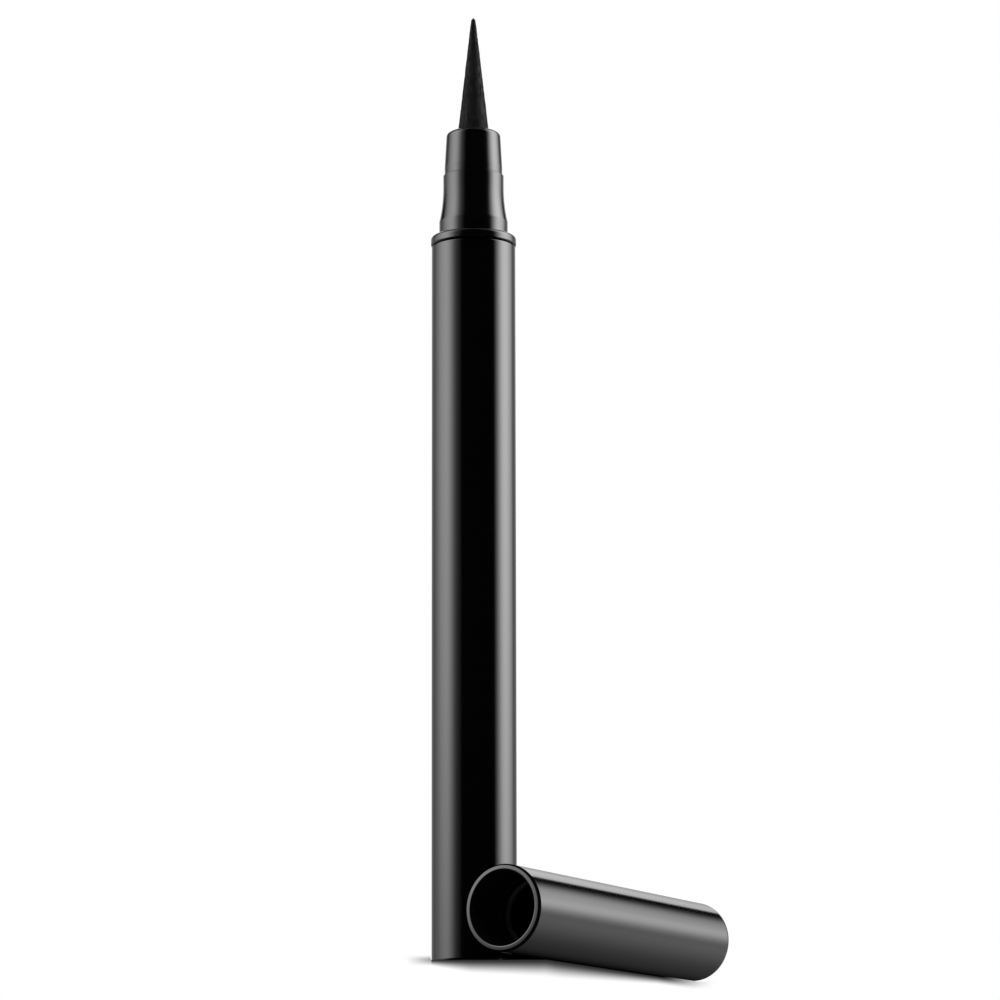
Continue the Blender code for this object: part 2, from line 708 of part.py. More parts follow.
def print_record_sizes(place):
    """Print the places that a description of this part needs."""
    along = Vector((0, math.cos(cap_lean), -math.sin(cap_lean)))
    mouth = place.location
    print("cap mouth", tuple(round(value, 6) for value in mouth))
    print("cap axis", tuple(round(value, 6) for value in along))
    print(f"ball rest {ball_rest:.6f}, ball top stop {wick_bottom - SEAT_GAP - ball_radius:.6f}")
    print(f"nib point {nib_point:.6f}, step {neck_top:.6f}, flange top {flange_top:.6f}")
    print(f"inner cap mouth {inner_cap_front:.6f}, back {inner_cap_back:.6f}")
    print(f"lip seal front {lip_seal_front:.6f}, spring {spring_front:.6f} to {spring_back:.6f}")


def main():
    """Build the pen, then the cap beside it."""
    clear_scene()
    gloss = make_material("gloss_black", GLOSS_BLACK)
    section_black = make_material("section_black", SECTION_BLACK)
    inner_black = make_material("inner_black", INNER_BLACK)
    seal_grey = make_material("seal_grey", SEAL_GREY)
    steel = make_material("steel", STEEL)
    make_barrel(gloss)
    make_tail_plug(inner_black)
    make_ink_tank(make_material("tank_clear", TANK_CLEAR))
    make_tank_seal(seal_grey)
    make_mixing_ball(steel)
    make_collector(make_material("feed_white", FEED_WHITE))
    make_relay_wick(make_material("wick_white", WICK_WHITE))
    make_section(section_black)
    make_nib_holder(section_black)
    make_nib(make_material("felt_black", FELT_BLACK))
    place = make_cap_place()
    make_cap_shell(gloss, place)
    make_inner_cap(inner_black, place)
    make_inner_cap_seal(seal_grey, place)
    make_cap_spring(steel, place)
    bpy.context.view_layer.update()
    print_record_sizes(place)


main()
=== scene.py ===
"""Looks of a felt-tip liquid eyeliner pen that stands uncapped, with its cap lying beside it.

Units are metres and +Z is up. The pen stands on the floor at the origin, along +Z. The cap lies
along +Y on the pen's +X side, its mouth at the -Y end. Nearly every piece is a turned form: an
outline of radius and height, spun about its own axis.
"""
import json
import math
from collections import namedtuple
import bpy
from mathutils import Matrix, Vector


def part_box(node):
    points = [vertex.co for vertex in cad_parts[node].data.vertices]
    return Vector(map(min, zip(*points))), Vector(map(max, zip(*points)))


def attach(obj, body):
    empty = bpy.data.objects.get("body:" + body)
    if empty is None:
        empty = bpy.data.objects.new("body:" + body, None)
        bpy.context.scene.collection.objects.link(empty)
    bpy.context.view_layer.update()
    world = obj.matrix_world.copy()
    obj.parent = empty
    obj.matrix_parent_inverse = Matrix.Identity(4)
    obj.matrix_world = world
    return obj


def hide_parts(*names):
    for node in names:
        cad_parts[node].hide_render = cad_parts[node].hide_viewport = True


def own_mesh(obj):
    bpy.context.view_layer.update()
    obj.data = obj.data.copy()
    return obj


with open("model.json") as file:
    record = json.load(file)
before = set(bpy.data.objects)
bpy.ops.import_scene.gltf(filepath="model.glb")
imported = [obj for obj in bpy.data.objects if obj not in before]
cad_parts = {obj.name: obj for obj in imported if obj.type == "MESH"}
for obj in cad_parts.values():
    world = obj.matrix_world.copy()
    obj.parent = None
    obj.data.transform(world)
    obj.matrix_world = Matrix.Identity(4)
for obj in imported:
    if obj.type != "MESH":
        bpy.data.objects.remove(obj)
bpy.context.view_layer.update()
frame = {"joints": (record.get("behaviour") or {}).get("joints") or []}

from types import SimpleNamespace

import bmesh
import bpy
from bpy.props import FloatProperty, FloatVectorProperty, IntProperty, PointerProperty
from mathutils import Matrix, Quaternion, Vector

bl_info = {
    "name": "Felt-Tip Eyeliner Pen",
    "version": (1, 0, 0),
    "blender": (4, 5, 0),
    "location": "3D View > Sidebar > Eyeliner",
    "description": "Makes the visible pieces of a felt-tip eyeliner pen and cap, and their studio",
    "category": "Object",
}

# Facets and shading of the turned pieces
OUTER_SIDES = 128
INNER_SIDES = 96
SMALL_SIDES = 64
ROUND_STEPS = 6
LIP_STEPS = 8
FLARE_STEPS = 24
BALL_STEPS = 32
NIB_FACET = 0.00012
WICK_FACET = 0.0004
HOLD = 0.00007
MERGE = 0.0000001
SHARP_ANGLE = math.radians(32)

# Fits that several pieces share, and how far a cutter stands out of what it cuts
PRESS_GAP = 0.0002
SEAT_GAP = 0.0003
FINE_SEAM = 0.0001
PLUG_RIB = PRESS_GAP * 0.75
CUT_OVERRUN = 0.0005

# Under the plug: the radii of its recess and its gate mark as shares of the plug's, and how deep
# the mark's face lies as a share of the recess
RECESS_SHARE = 0.62
GATE_SHARE = 0.11
GATE_DEPTH = 0.4

# Felt: the noise that presses nothing, the radius from which grooves have their full depth, the
# share of it that is left on the axis, and the least and most that a loose fibre is scaled
UNPRESSED = 0.62
FULL_GROOVES = 0.0012
LEAST_GROOVES = 0.25
LEAST_FIBRE = (0.7, 0.7, 0.45)
MOST_FIBRE = (1.2, 1.2, 1.2)

# Detail of the finer noises in the felt and the finishes
FINE_DETAIL = 3.0

# Where the packed pieces lie
barrel_low, barrel_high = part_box("barrel")
plug_low, plug_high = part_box("tail_plug")
section_low, section_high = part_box("section")
nozzle_low, nozzle_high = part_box("nib_holder")
nib_low, nib_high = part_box("nib")
tank_low, tank_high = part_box("ink_tank")
ring_low, ring_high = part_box("tank_seal")
feed_low, feed_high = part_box("collector")
wick_low, wick_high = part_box("relay_wick")
ball_low, ball_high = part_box("mixing_ball")
cap_low, cap_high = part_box("cap_shell")

# The cap's own frame: its Z axis runs from the middle of its mouth to its closed end
cap_joint = next(joint for joint in frame["joints"] if joint["name"] == "inner_cap_travel")
cap_axis = Vector(cap_joint["axis"]).normalized()
cup_travel = max(cap_joint["range_m"])
cap_lean = math.atan2(-cap_axis.z, cap_axis.y)
cap_radius = (cap_high.x - cap_low.x) / 2
cap_mouth = Vector(((cap_low.x + cap_high.x) / 2, cap_low.y + cap_radius * math.sin(cap_lean),
                    cap_radius * math.cos(cap_lean)))
cap_place = Matrix.Translation(cap_mouth) @ Matrix.Rotation(-(math.pi / 2 + cap_lean), 4, "X")


def length(name, description, default):
    """A length that a user can change."""
    return FloatProperty(name=name, description=description, default=default, min=0.0,
                         precision=5, unit="LENGTH", subtype="DISTANCE")


def share(name, description, default):
    """A share from 0 to 1 that a user can change."""
    return FloatProperty(name=name, description=description, default=default, min=0.0, max=1.0,
                         precision=3, subtype="FACTOR")


def count(name, description, default):
    """A number of like things that a user can change."""
    return IntProperty(name=name, description=description, default=default, min=1)


def colour(name, description, default):
    """A colour that a user can change."""
    return FloatVectorProperty(name=name, description=description, default=default, min=0.0,
                               max=1.0, size=3, subtype="COLOR")


def angle(name, description, degrees):
    """An angle that a user can change."""
    return FloatProperty(name=name, description=description, default=math.radians(degrees),
                         unit="ROTATION", subtype="ANGLE")


# Reflecting panels. Their soft edges are pairs of angles in degrees: rise and fall are turned from
# the camera's side of the object towards one side or both, and low and high are climbs from level.
Panel = namedtuple("Panel", "side rise fall low high brightness")
PANELS = (
    Panel("left", (47, 80), (76, 138), (-3, 13), (28, 75), 5.6),
    Panel("left", (30, 55), (55, 85), (-3, 13), (28, 75), 0.8),
    Panel("right", (56, 90), (90, 140), (-9, 16), (28, 75), 8.8),
    Panel("right", (88, 104), (120, 145), (16, 32), (50, 70), 1.2),
    Panel("both", (110, 128), (180, 190), (-4, 4), (14, 22), 0.40),
    Panel("both", (150, 154), (180, 190), (10, 38), (38, 44), 2.3),
    Panel("both", (70, 95), (113, 181), (-52, -8), (-10, 5), 1.14),
    Panel("both", (30, 80), (180, 190), (62, 80), (90, 99), 0.5),
)

# Sizes and places in the studio, counted from the pen's foot
STUDIO_RADIUS = 3.0
CAMERA_CLIP = (0.01, 20.0)
LAMP_SIZE = 0.5
LAMP_FRONT = 0.3
LAMP_LEFT = 0.15
LAMP_HEIGHT = 0.75
FLOOR_RADIUS = 0.9
FLOOR_FADE = (0.25, 0.855)
FLOOR_DROP = 0.00002
PATCH_SIDES = (-0.0105, 0.036)
PATCH_DEPTHS = (-0.0125, 0.045)
PATCH_DROP = 0.00001

# Where the painted contact shade changes. Its left part is counted in barrel radii from the pen's
# axis, and its right part in shares of the way to the cap's closed end.
TAIL_RISE = (-1.58, -0.69)
FOOT_EDGE = (-1.01, -0.99)
FRONT_REACH = 2.24
REACH_RISE = (-1.0, -1 / 13)
REACH_GROWTH = (0.0, 1.6)
REACH_FALL = (0.38, 0.82)
END_FALL = (0.83, 1.10)
FADE_POWER = 1.3
LEAST_SHADE = 0.02
COVER_SAMPLES = 64


class BarrelSettings(bpy.types.PropertyGroup):
    """Sizes and finish of the barrel and of the plug in its foot."""
    radius: length("Radius", "Outer radius of the barrel", barrel_high.x)
    wall: length("Wall", "Wall of the barrel", 0.0008)
    foot_round: length("Foot round", "Rounding of the outer edge at the foot", 0.00025)
    rim_round: length("Rim round", "Rounding of the rim at the seam", 0.0002)
    rim_rise: length("Rim rise", "How far the rim stands up into the seam", 0.00012)
    plug_floor: length("Plug floor", "Thickness of the plug's floor", 0.0012)
    plug_wall: length("Plug wall", "Wall of the plug's skirt", 0.0007)
    plug_recess: length("Plug recess", "Depth of the recess under the plug", 0.00025)
    plug_ribs: count("Plug ribs", "Grip ribs round the plug", 3)
    colour: colour("Colour", "Colour of the glossy plastic", (0.0006, 0.0006, 0.0007))
    roughness: share("Roughness", "Roughness of the glossy plastic", 0.11)


class SectionSettings(bpy.types.PropertyGroup):
    """Sizes and finish of the front section below the step."""
    flange_round: length("Flange round", "Rounding of the flange's top edge", 0.00045)
    flange_height: length("Flange height", "Height of the flange", 0.00124)
    flange_seam: length("Flange seam", "Rounding of the flange's edge at the seam", 0.0002)
    band_radius: length("Band radius", "Radius of the band that the cap grips", 0.0043)
    band_height: length("Band height", "Height of the band that the cap grips", 0.00185)
    flare_height: length("Flare height", "Height of the concave flare", 0.0045)
    neck_radius: length("Neck radius", "Radius of the neck below the step", 0.0038)
    neck_height: length("Neck height", "Height of the straight neck", 0.0015)
    neck_wall: length("Neck wall", "Wall of the neck", 0.00075)
    spigot_wall: length("Spigot wall", "Wall of the hidden spigot", 0.00065)
    shoulder: length("Shoulder", "Inner shoulder's height above the flange's underside", 0.00084)
    colour: colour("Colour", "Colour of the section's plastic", (0.0008, 0.0008, 0.0009))
    roughness: share("Roughness", "Roughness of the section's plastic", 0.15)


class NozzleSettings(bpy.types.PropertyGroup):
    """Sizes of the nozzle that holds the nib."""
    tip_radius: length("Tip radius", "Radius of the nozzle at its tip", 0.003375)
    step_gap: length("Step gap", "Gap between the section and the nozzle's foot", 0.00003)
    straight: length("Straight foot", "Height of the straight foot above the step", 0.0011)
    tip_round: length("Tip round", "Rounding of the nozzle's tip", 0.0006)
    vents: count("Vents", "Air vents in the bore", 4)
    vent_width: length("Vent width", "Width of each air vent", 0.0007)
    vent_depth: length("Vent depth", "Depth of each air vent", 0.0003)


class NibSettings(bpy.types.PropertyGroup):
    """Sizes and finish of the felt nib."""
    point_radius: length("Point radius", "Radius of the nib's point", 0.00027)
    taper_start: length("Taper start", "How far below the nozzle's rim the taper starts", 0.0005)
    groove_depth: length("Groove depth", "Depth of the grooves between the fibres", 0.00003)
    groove_width: length("Groove width", "Width of the grooves between the fibres", 0.00016)
    fibre_radius: length("Fibre radius", "Radius of one loose fibre", 0.000013)
    fibre_length: length("Fibre length", "Length of one loose fibre", 0.0011)
    fibre_density: FloatProperty(name="Fibre density", description="Loose fibres a square metre",
                                 default=1.3e7, min=0.0)
    stray: angle("Stray", "How far loose fibres turn from the nib's length", 10)
    seed: IntProperty(name="Seed", description="Seed of the fibres' places", default=7)
    # The dark fibre colour is painted shade between the fibres; the light one lies on the raised
    # fibres
    dark: colour("Dark fibre", "Colour between the fibres", (0.0011, 0.0011, 0.0012))
    shine: share("Shine", "Shine of the felt", 0.16)
    light: colour("Light fibre", "Colour of the raised fibres", (0.0052, 0.0052, 0.0055))


class CapSettings(bpy.types.PropertyGroup):
    """Sizes of the cap's shell, counted from its mouth along its own axis."""
    length: length("Length", "Length of the cap", 0.04509)
    end_radius: length("End radius", "Outer radius at the closed end", 0.00495)
    wall: length("Wall", "Side wall of the cap", 0.00076)
    end_wall: length("End wall", "Wall of the closed end", 0.0012)
    lip_across: length("Lip across", "Rounding of the mouth's edge, across the wall", 0.0002)
    lip_along: length("Lip along", "Rounding of the mouth's edge, along the cap", 0.0003)
    lip_slope: length("Lip slope", "Fall of the mouth's face from its bore to its edge", 0.000025)
    matt_length: length("Matt length", "Length of the unpolished edge round the mouth", 0.0005)
    bore_round: length("Bore round", "Rounding of the mouth's inner edge", 0.00017)
    end_round: length("End round", "Rounding of the closed end", 0.0008)
    bead_place: length("Bead place", "Place of the bead that keeps the inner cup", 0.0064)
    bead_height: length("Bead height", "Height of the bead", 0.00046)
    bead_half: length("Bead half width", "Half of the bead's width", 0.00045)
    post_radius: length("Post radius", "Radius of the post inside the spring", 0.0019)
    post_length: length("Post length", "Length of the post inside the spring", 0.003)
    grips: count("Grip ribs", "Ribs that grip the band", 6)
    grip_width: length("Grip width", "Width of each grip rib", 0.0006)
    grip_height: length("Grip height", "Height of each grip rib", 0.00018)
    grip_front: length("Grip front", "Distance from the mouth to the grip ribs", 0.00035)
    grip_length: length("Grip length", "Length of each grip rib", 0.0014)


class CupSettings(bpy.types.PropertyGroup):
    """Sizes and finish of the sprung inner cup and of the soft ring on its mouth."""
    front: length("Front", "Distance from the cap's mouth to the cup's flange", 0.00785)
    length: length("Length", "Length of the cup", 0.0243)
    flange: length("Flange", "Thickness of the cup's flange", 0.0011)
    throat_depth: length("Throat depth", "Depth of the throat that takes the nozzle", 0.0064)
    throat_radius: length("Throat radius", "Radius of the throat", 0.003745)
    throat_wall: length("Throat wall", "Wall of the throat", 0.00042)
    chamber_radius: length("Chamber radius", "Radius of the chamber that takes the nib", 0.0031)
    wall: length("Wall", "Wall of the chamber", 0.0005)
    end_wall: length("End wall", "Wall of the cup's closed end", 0.0008)
    end_round: length("End round", "Rounding of the cup's closed end", 0.0006)
    ribs: count("Ribs", "Guide ribs along the cup", 4)
    rib_width: length("Rib width", "Width of each guide rib", 0.0006)
    rib_height: length("Rib height", "Height of each guide rib", 0.00045)
    ring_front: length("Ring front", "Distance from the cap's mouth to the soft ring", 0.00715)
    ring_thickness: length("Ring thickness", "Thickness of the soft ring", 0.0006)
    ring_bore: length("Ring bore", "Inner radius of the soft ring", 0.003675)
    ring_round: length("Ring round", "Rounding of the soft ring's edges", 0.00015)
    colour: colour("Colour", "Colour of the cup's matt plastic", (0.0016, 0.0016, 0.0017))
    ring_colour: colour("Ring colour", "Colour of the soft rings", (0.012, 0.012, 0.013))


class SpringSettings(bpy.types.PropertyGroup):
    """Sizes and finish of the coil spring behind the inner cup."""
    front: length("Front", "Distance from the cap's mouth to the spring", 0.03245)
    back: length("Back", "Distance from the cap's mouth to the spring's seat", 0.0436)
    wire: length("Wire", "Diameter of the wire", 0.00045)
    coil_radius: length("Coil radius", "Radius at the middle of the wire", 0.002525)
    turns: count("Open turns", "Turns between the closed ends", 7)
    closed_pitch: length("Closed pitch", "Rise of each closed end turn", 0.00047)
    colour: colour("Colour", "Colour of the steel", (0.56, 0.57, 0.58))


class InkSettings(bpy.types.PropertyGroup):
    """Sizes and finish of the ink bottle, its ring, the stirring ball and the wick."""
    wall: length("Wall", "Wall of the bottle", 0.0006)
    floor: length("Floor", "Floor of the bottle's tail", 0.0008)
    shoulder: length("Shoulder", "Height of the shoulder above the plug", 0.0009)
    ring_width: length("Ring width", "Width of the soft ring across", 0.00085)
    ring_round: length("Ring round", "Rounding of the soft ring's edges", 0.00025)
    wick_chamfer: length("Wick chamfer", "Chamfer of the wick's ends", 0.0003)
    bottle_colour: colour("Bottle colour", "Colour of the clear bottle", (0.78, 0.79, 0.78))
    ball_colour: colour("Ball colour", "Colour of the ball's steel", (0.56, 0.57, 0.58))
    wick_colour: colour("Wick colour", "Colour of the wick's fibres", (0.72, 0.71, 0.68))


class FeedSettings(bpy.types.PropertyGroup):
    """Sizes and finish of the finned feed between the bottle and the nib."""
    core_radius: length("Core radius", "Radius of the feed's core", 0.002)
    collar_radius: length("Collar radius", "Radius of the collar in the soft ring", 0.0032)
    collar_reach: length("Collar reach", "Reach of the collar past the soft ring", 0.0007)
    head: length("Head", "Thickness of the feed's head", 0.0006)
    nose_length: length("Nose length", "Length of the nose in the ink", 0.0025)
    nose_radius: length("Nose radius", "Radius of the nose's tip", 0.0015)
    fin_pitch: length("Fin pitch", "Distance from fin to fin", 0.00055)
    fin_thickness: length("Fin thickness", "Thickness of each fin", 0.00025)
    fin_gap: length("Fin gap", "Gap between the fins and the bore round them", 0.00025)
    slit_width: length("Slit width", "Width of the ink slit", 0.0003)
    notch_width: length("Notch width", "Width of the air notch", 0.0013)
    notch_depth: length("Notch depth", "Depth of the air notch", 0.0009)
    wick_gap: length("Wick gap", "Gap round the wick", 0.00015)
    colour: colour("Colour", "Colour of the feed's plastic", (0.82, 0.82, 0.80))


class StageSettings(bpy.types.PropertyGroup):
    """Camera, lamps, reflecting panels and floor."""
    azimuth: angle("Azimuth", "Direction that the camera looks along, from +Y", 33.4558)
    pitch: angle("Pitch", "How far the camera looks up", 10.5749)
    roll: angle("Roll", "How far the camera leans", -0.1124)
    distance: length("Distance", "Level distance from the camera to the pen", 0.6660008)
    side: length("Side", "How far the camera stands to the right of the pen", 0.0032651)
    drop: length("Drop", "How far the camera stands below the floor's level", 0.0664134)
    lens: FloatProperty(name="Lens", description="Focal length in millimetres", default=195.571)
    lamp_power: FloatProperty(name="Lamp power", description="Power of the soft lamp", default=4.4,
                              unit="POWER")
    ambient: share("Ambient", "Light that the surroundings throw on the object", 0.50)
    panels: FloatProperty(name="Panels", description="Brightness of all reflecting panels",
                          default=1.0)
    shade_reach: length("Shade reach", "Reach of the shade behind the foot", 0.0185)
    shade_middle: length("Shade middle", "Reach of the shade between the foot and the cap", 0.0235)
    shade_tail: length("Shade tail", "Reach of the shade at its left end", 0.0085)
    shade_end: length("Shade end", "Reach of the shade behind the cap's closed end", 0.011)
    shade_step: length("Shade step", "How far behind the cap's contact line its shade lightens",
                       0.0012)
    shade_cover: length("Shade cover", "How near something must be over the floor to shade it",
                        0.010)
    cover_share: share("Cover share", "Share of the sky that must be hidden for a full shade", 0.04)
    shade_light: share("Shade light", "Light in the darkest part of the shade", 0.03)
    floor_colour: colour("Floor colour", "Colour of the floor", (0.90, 0.90, 0.90))


def held(start, finish):
    """Points just inside both ends of a long straight stretch, which keep its shading straight."""
    span = finish - start
    if span.length < 4 * HOLD:
        return []
    step = span.normalized() * HOLD
    return [start + step, finish - step]


def bend(corners, index, closed):
    """Points of one corner: the corner itself, or an arc that is tangent to both its sides."""
    radius, height, *rounding = corners[index]
    here = Vector((radius, height))
    if not any(rounding) or (not closed and index in (0, len(corners) - 1)):
        return [here]
    before = Vector(corners[index - 1][:2]) - here
    after = Vector(corners[(index + 1) % len(corners)][:2]) - here
    half_angle = before.angle(after) / 2
    reach = min(rounding[0] / math.tan(half_angle), before.length / 2, after.length / 2)
    arc_radius = reach * math.tan(half_angle)
    bisector = (before.normalized() + after.normalized()).normalized()
    centre = here + bisector * (arc_radius / math.sin(half_angle))
    start = here + before.normalized() * reach - centre
    finish = here + after.normalized() * reach - centre
    turn = start.angle_signed(finish)
    points = []
    for step in range(ROUND_STEPS + 1):
        spun = start.copy()
        spun.rotate(Matrix.Rotation(-turn * step / ROUND_STEPS, 2))
        points.append(centre + spun)
    return points


def outline(corners, closed=False):
    """Points of an outline from its corners, each a radius, a height and, where it is rounded off,
    the rounding's radius. A closed outline ends where it starts.
    """
    bends = [bend(corners, index, closed) for index in range(len(corners))]
    points = []
    for index, points_here in enumerate(bends):
        points += points_here
        if index + 1 < len(bends) or closed:
            points += held(points_here[-1], bends[(index + 1) % len(bends)][0])
    if closed:
        points.append(points[0])
    return points


def divided(points, step):
    """The same outline with more points, no further apart than a step."""
    finer = [points[0]]
    for start, finish in zip(points, points[1:]):
        count = max(1, math.ceil((finish - start).length / step))
        finer += [start.lerp(finish, index / count) for index in range(1, count + 1)]
    return finer


def ring_corners(inner, outer, low, high, rounding):
    """Outline of a ring whose four edges are rounded alike."""
    return [(inner, low, rounding), (outer, low, rounding),
            (outer, high, rounding), (inner, high, rounding)]


def math_method(operation, swapped=False):
    """A method that puts a node's output and another value through one Math node."""
    def method(self, other):
        values = (other, self) if swapped else (self, other)
        return calculate(self.tree, operation, *values)

    return method


class Output:
    """What a node gives out. Plain arithmetic with it adds Math nodes to its tree."""
    __add__ = math_method("ADD")
    __sub__ = math_method("SUBTRACT")
    __rsub__ = math_method("SUBTRACT", True)
    __mul__ = math_method("MULTIPLY")
    __truediv__ = math_method("DIVIDE")
    __rtruediv__ = math_method("DIVIDE", True)
    __pow__ = math_method("POWER")
    __lt__ = math_method("LESS_THAN")
    __gt__ = math_method("GREATER_THAN")

    def __init__(self, tree, socket):
        self.tree = tree
        self.socket = socket

    def __neg__(self):
        return self * -1.0

    def __abs__(self):
        return calculate(self.tree, "ABSOLUTE", self)


def fill(tree, item, values):
    """Give a node's inputs their values: plain ones, or what other nodes give out."""
    for key, value in values.items():
        if isinstance(value, bpy.types.Node):
            value = value.outputs[0]
        elif isinstance(value, Output):
            value = value.socket
        if isinstance(value, bpy.types.NodeSocket):
            tree.links.new(value, item.inputs[key])
        else:
            item.inputs[key].default_value = value


def add_node(tree, kind, values=None, **options):
    """Add a node, set its options and fill its inputs."""
    item = tree.nodes.new(kind)
    for name, value in options.items():
        setattr(item, name, value)
    fill(tree, item, values or {})
    return item


def output(tree, kind, values=None, which=0, **options):
    """What one new node gives out: its first output, or another by its name or number."""
    return Output(tree, add_node(tree, kind, values, **options).outputs[which])


def calculate(tree, operation, *values, clamp=False):
    """The result of one Math node."""
    return output(tree, "ShaderNodeMath", dict(enumerate(values)), operation=operation,
                  use_clamp=clamp)


def ramp(tree, value, start, finish, low=0.0, high=1.0, kind="SMOOTHSTEP"):
    """A value that goes from low to high while another goes from start to finish."""
    return output(tree, "ShaderNodeMapRange",
                  {"Value": value, "From Min": start, "From Max": finish, "To Min": low,
                   "To Max": high}, interpolation_type=kind, clamp=True)


def parts_of(tree, vector):
    """The parts of a vector along X, Y and Z."""
    apart = add_node(tree, "ShaderNodeSeparateXYZ", {0: vector})
    return [Output(tree, part) for part in apart.outputs]


def long_side(tree, first, second):
    """The longest side of a triangle whose two others meet at a right angle."""
    return calculate(tree, "SQRT", first * first + second * second)


def label_of(key):
    """The label that an input of a node tree has in Blender."""
    return key.replace("_", " ").title()


def new_geometry_tree(name, **inputs):
    """A geometry node tree with named inputs. Returns the tree and what it is given, by name."""
    tree = bpy.data.node_groups.new(name, "GeometryNodeTree")
    inputs = {"geometry": "Geometry", **inputs, "finish": "Material"}
    for key, kind in inputs.items():
        tree.interface.new_socket(label_of(key), in_out="INPUT", socket_type="NodeSocket" + kind)
    tree.interface.new_socket("Geometry", in_out="OUTPUT", socket_type="NodeSocketGeometry")
    start = tree.nodes.new("NodeGroupInput")
    given = {key: Output(tree, start.outputs[label_of(key)]) for key in inputs}
    return tree, SimpleNamespace(**given)


def end_geometry_tree(tree, given, geometry):
    """End a tree in Realize Instances and Set Material."""
    real = add_node(tree, "GeometryNodeRealizeInstances", {"Geometry": geometry})
    finished = add_node(tree, "GeometryNodeSetMaterial",
                        {"Geometry": real, "Material": given.finish})
    add_node(tree, "NodeGroupOutput", {0: finished})
    return tree


def integer(tree, operation, first, second):
    """The result of one Integer Math node."""
    return output(tree, "FunctionNodeIntegerMath", {0: first, 1: second}, operation=operation)


def turning_tree():
    """Spins the points of an outline, which lie in the XZ plane, about the Z axis."""
    tree, given = new_geometry_tree("turned_form", sides="Int")
    points = output(tree, "GeometryNodeAttributeDomainSize", {"Geometry": given.geometry},
                    "Point Count")
    columns = integer(tree, "ADD", given.sides, 1)
    grid = add_node(tree, "GeometryNodeMeshGrid", {"Vertices X": columns, "Vertices Y": points})
    index = output(tree, "GeometryNodeInputIndex")
    row = integer(tree, "MODULO", index, points)
    column = integer(tree, "DIVIDE_FLOOR", index, points)
    position = output(tree, "GeometryNodeInputPosition")
    point = add_node(tree, "GeometryNodeSampleIndex",
                     {"Geometry": given.geometry, "Value": position, "Index": row},
                     data_type="FLOAT_VECTOR")
    turn = column / given.sides * math.tau
    spun = add_node(tree, "ShaderNodeVectorRotate", {"Vector": point, "Angle": turn},
                    rotation_type="Z_AXIS")
    placed = add_node(tree, "GeometryNodeSetPosition", {"Geometry": grid, "Position": spun})
    mapped = add_node(tree, "GeometryNodeStoreNamedAttribute",
                      {"Geometry": placed, "Name": "UVMap", "Value": grid.outputs["UV Map"]},
                      data_type="FLOAT2", domain="CORNER")
    merged = add_node(tree, "GeometryNodeMergeByDistance", {"Geometry": mapped, "Distance": MERGE})
    return end_geometry_tree(tree, given, merged)


def ring_tree():
    """Sets copies of one form round the Z axis, evenly spaced."""
    tree, given = new_geometry_tree("ring_of_forms", count="Int")
    points = add_node(tree, "GeometryNodePoints", {"Count": given.count})
    turn = output(tree, "GeometryNodeInputIndex") / given.count * math.tau
    rotation = add_node(tree, "ShaderNodeCombineXYZ", {"Z": turn})
    copies = add_node(tree, "GeometryNodeInstanceOnPoints",
                      {"Points": points, "Instance": given.geometry, "Rotation": rotation})
    return end_geometry_tree(tree, given, copies)


def stack_tree():
    """Sets copies of one form along the Z axis, a pitch apart."""
    tree, given = new_geometry_tree("stack_of_forms", count="Int", pitch="Float")
    offset = add_node(tree, "ShaderNodeCombineXYZ", {"Z": given.pitch})
    line = add_node(tree, "GeometryNodeMeshLine", {"Count": given.count, "Offset": offset},
                    mode="OFFSET")
    copies = add_node(tree, "GeometryNodeInstanceOnPoints",
                      {"Points": line, "Instance": given.geometry})
    return end_geometry_tree(tree, given, copies)


def coil_tree():
    """Winds a wire with open turns between two closed end turns."""
    tree, given = new_geometry_tree("coil", open_turns="Int", coil_radius="Float",
                                    wire_radius="Float", closed_pitch="Float", length="Float",
                                    turn_points="Int", wire_sides="Int")
    turns = given.open_turns + 2.0
    spiral = add_node(tree, "GeometryNodeCurveSpiral",
                      {"Resolution": given.turn_points, "Rotations": turns,
                       "Start Radius": given.coil_radius, "End Radius": given.coil_radius,
                       "Height": 0.0})
    turned = output(tree, "GeometryNodeSplineParameter", which="Factor") * turns
    open_share = calculate(tree, "DIVIDE", turned - 1.0, given.open_turns, clamp=True)
    open_length = given.length - turns * given.closed_pitch
    rise = calculate(tree, "MULTIPLY_ADD", open_share, open_length, turned * given.closed_pitch)
    offset = add_node(tree, "ShaderNodeCombineXYZ", {"Z": rise})
    wound = add_node(tree, "GeometryNodeSetPosition", {"Geometry": spiral, "Offset": offset})
    wire = add_node(tree, "GeometryNodeCurvePrimitiveCircle",
                    {"Resolution": given.wire_sides, "Radius": given.wire_radius})
    tube = add_node(tree, "GeometryNodeCurveToMesh",
                    {"Curve": wound, "Profile Curve": wire, "Fill Caps": True})
    return end_geometry_tree(tree, given, tube)


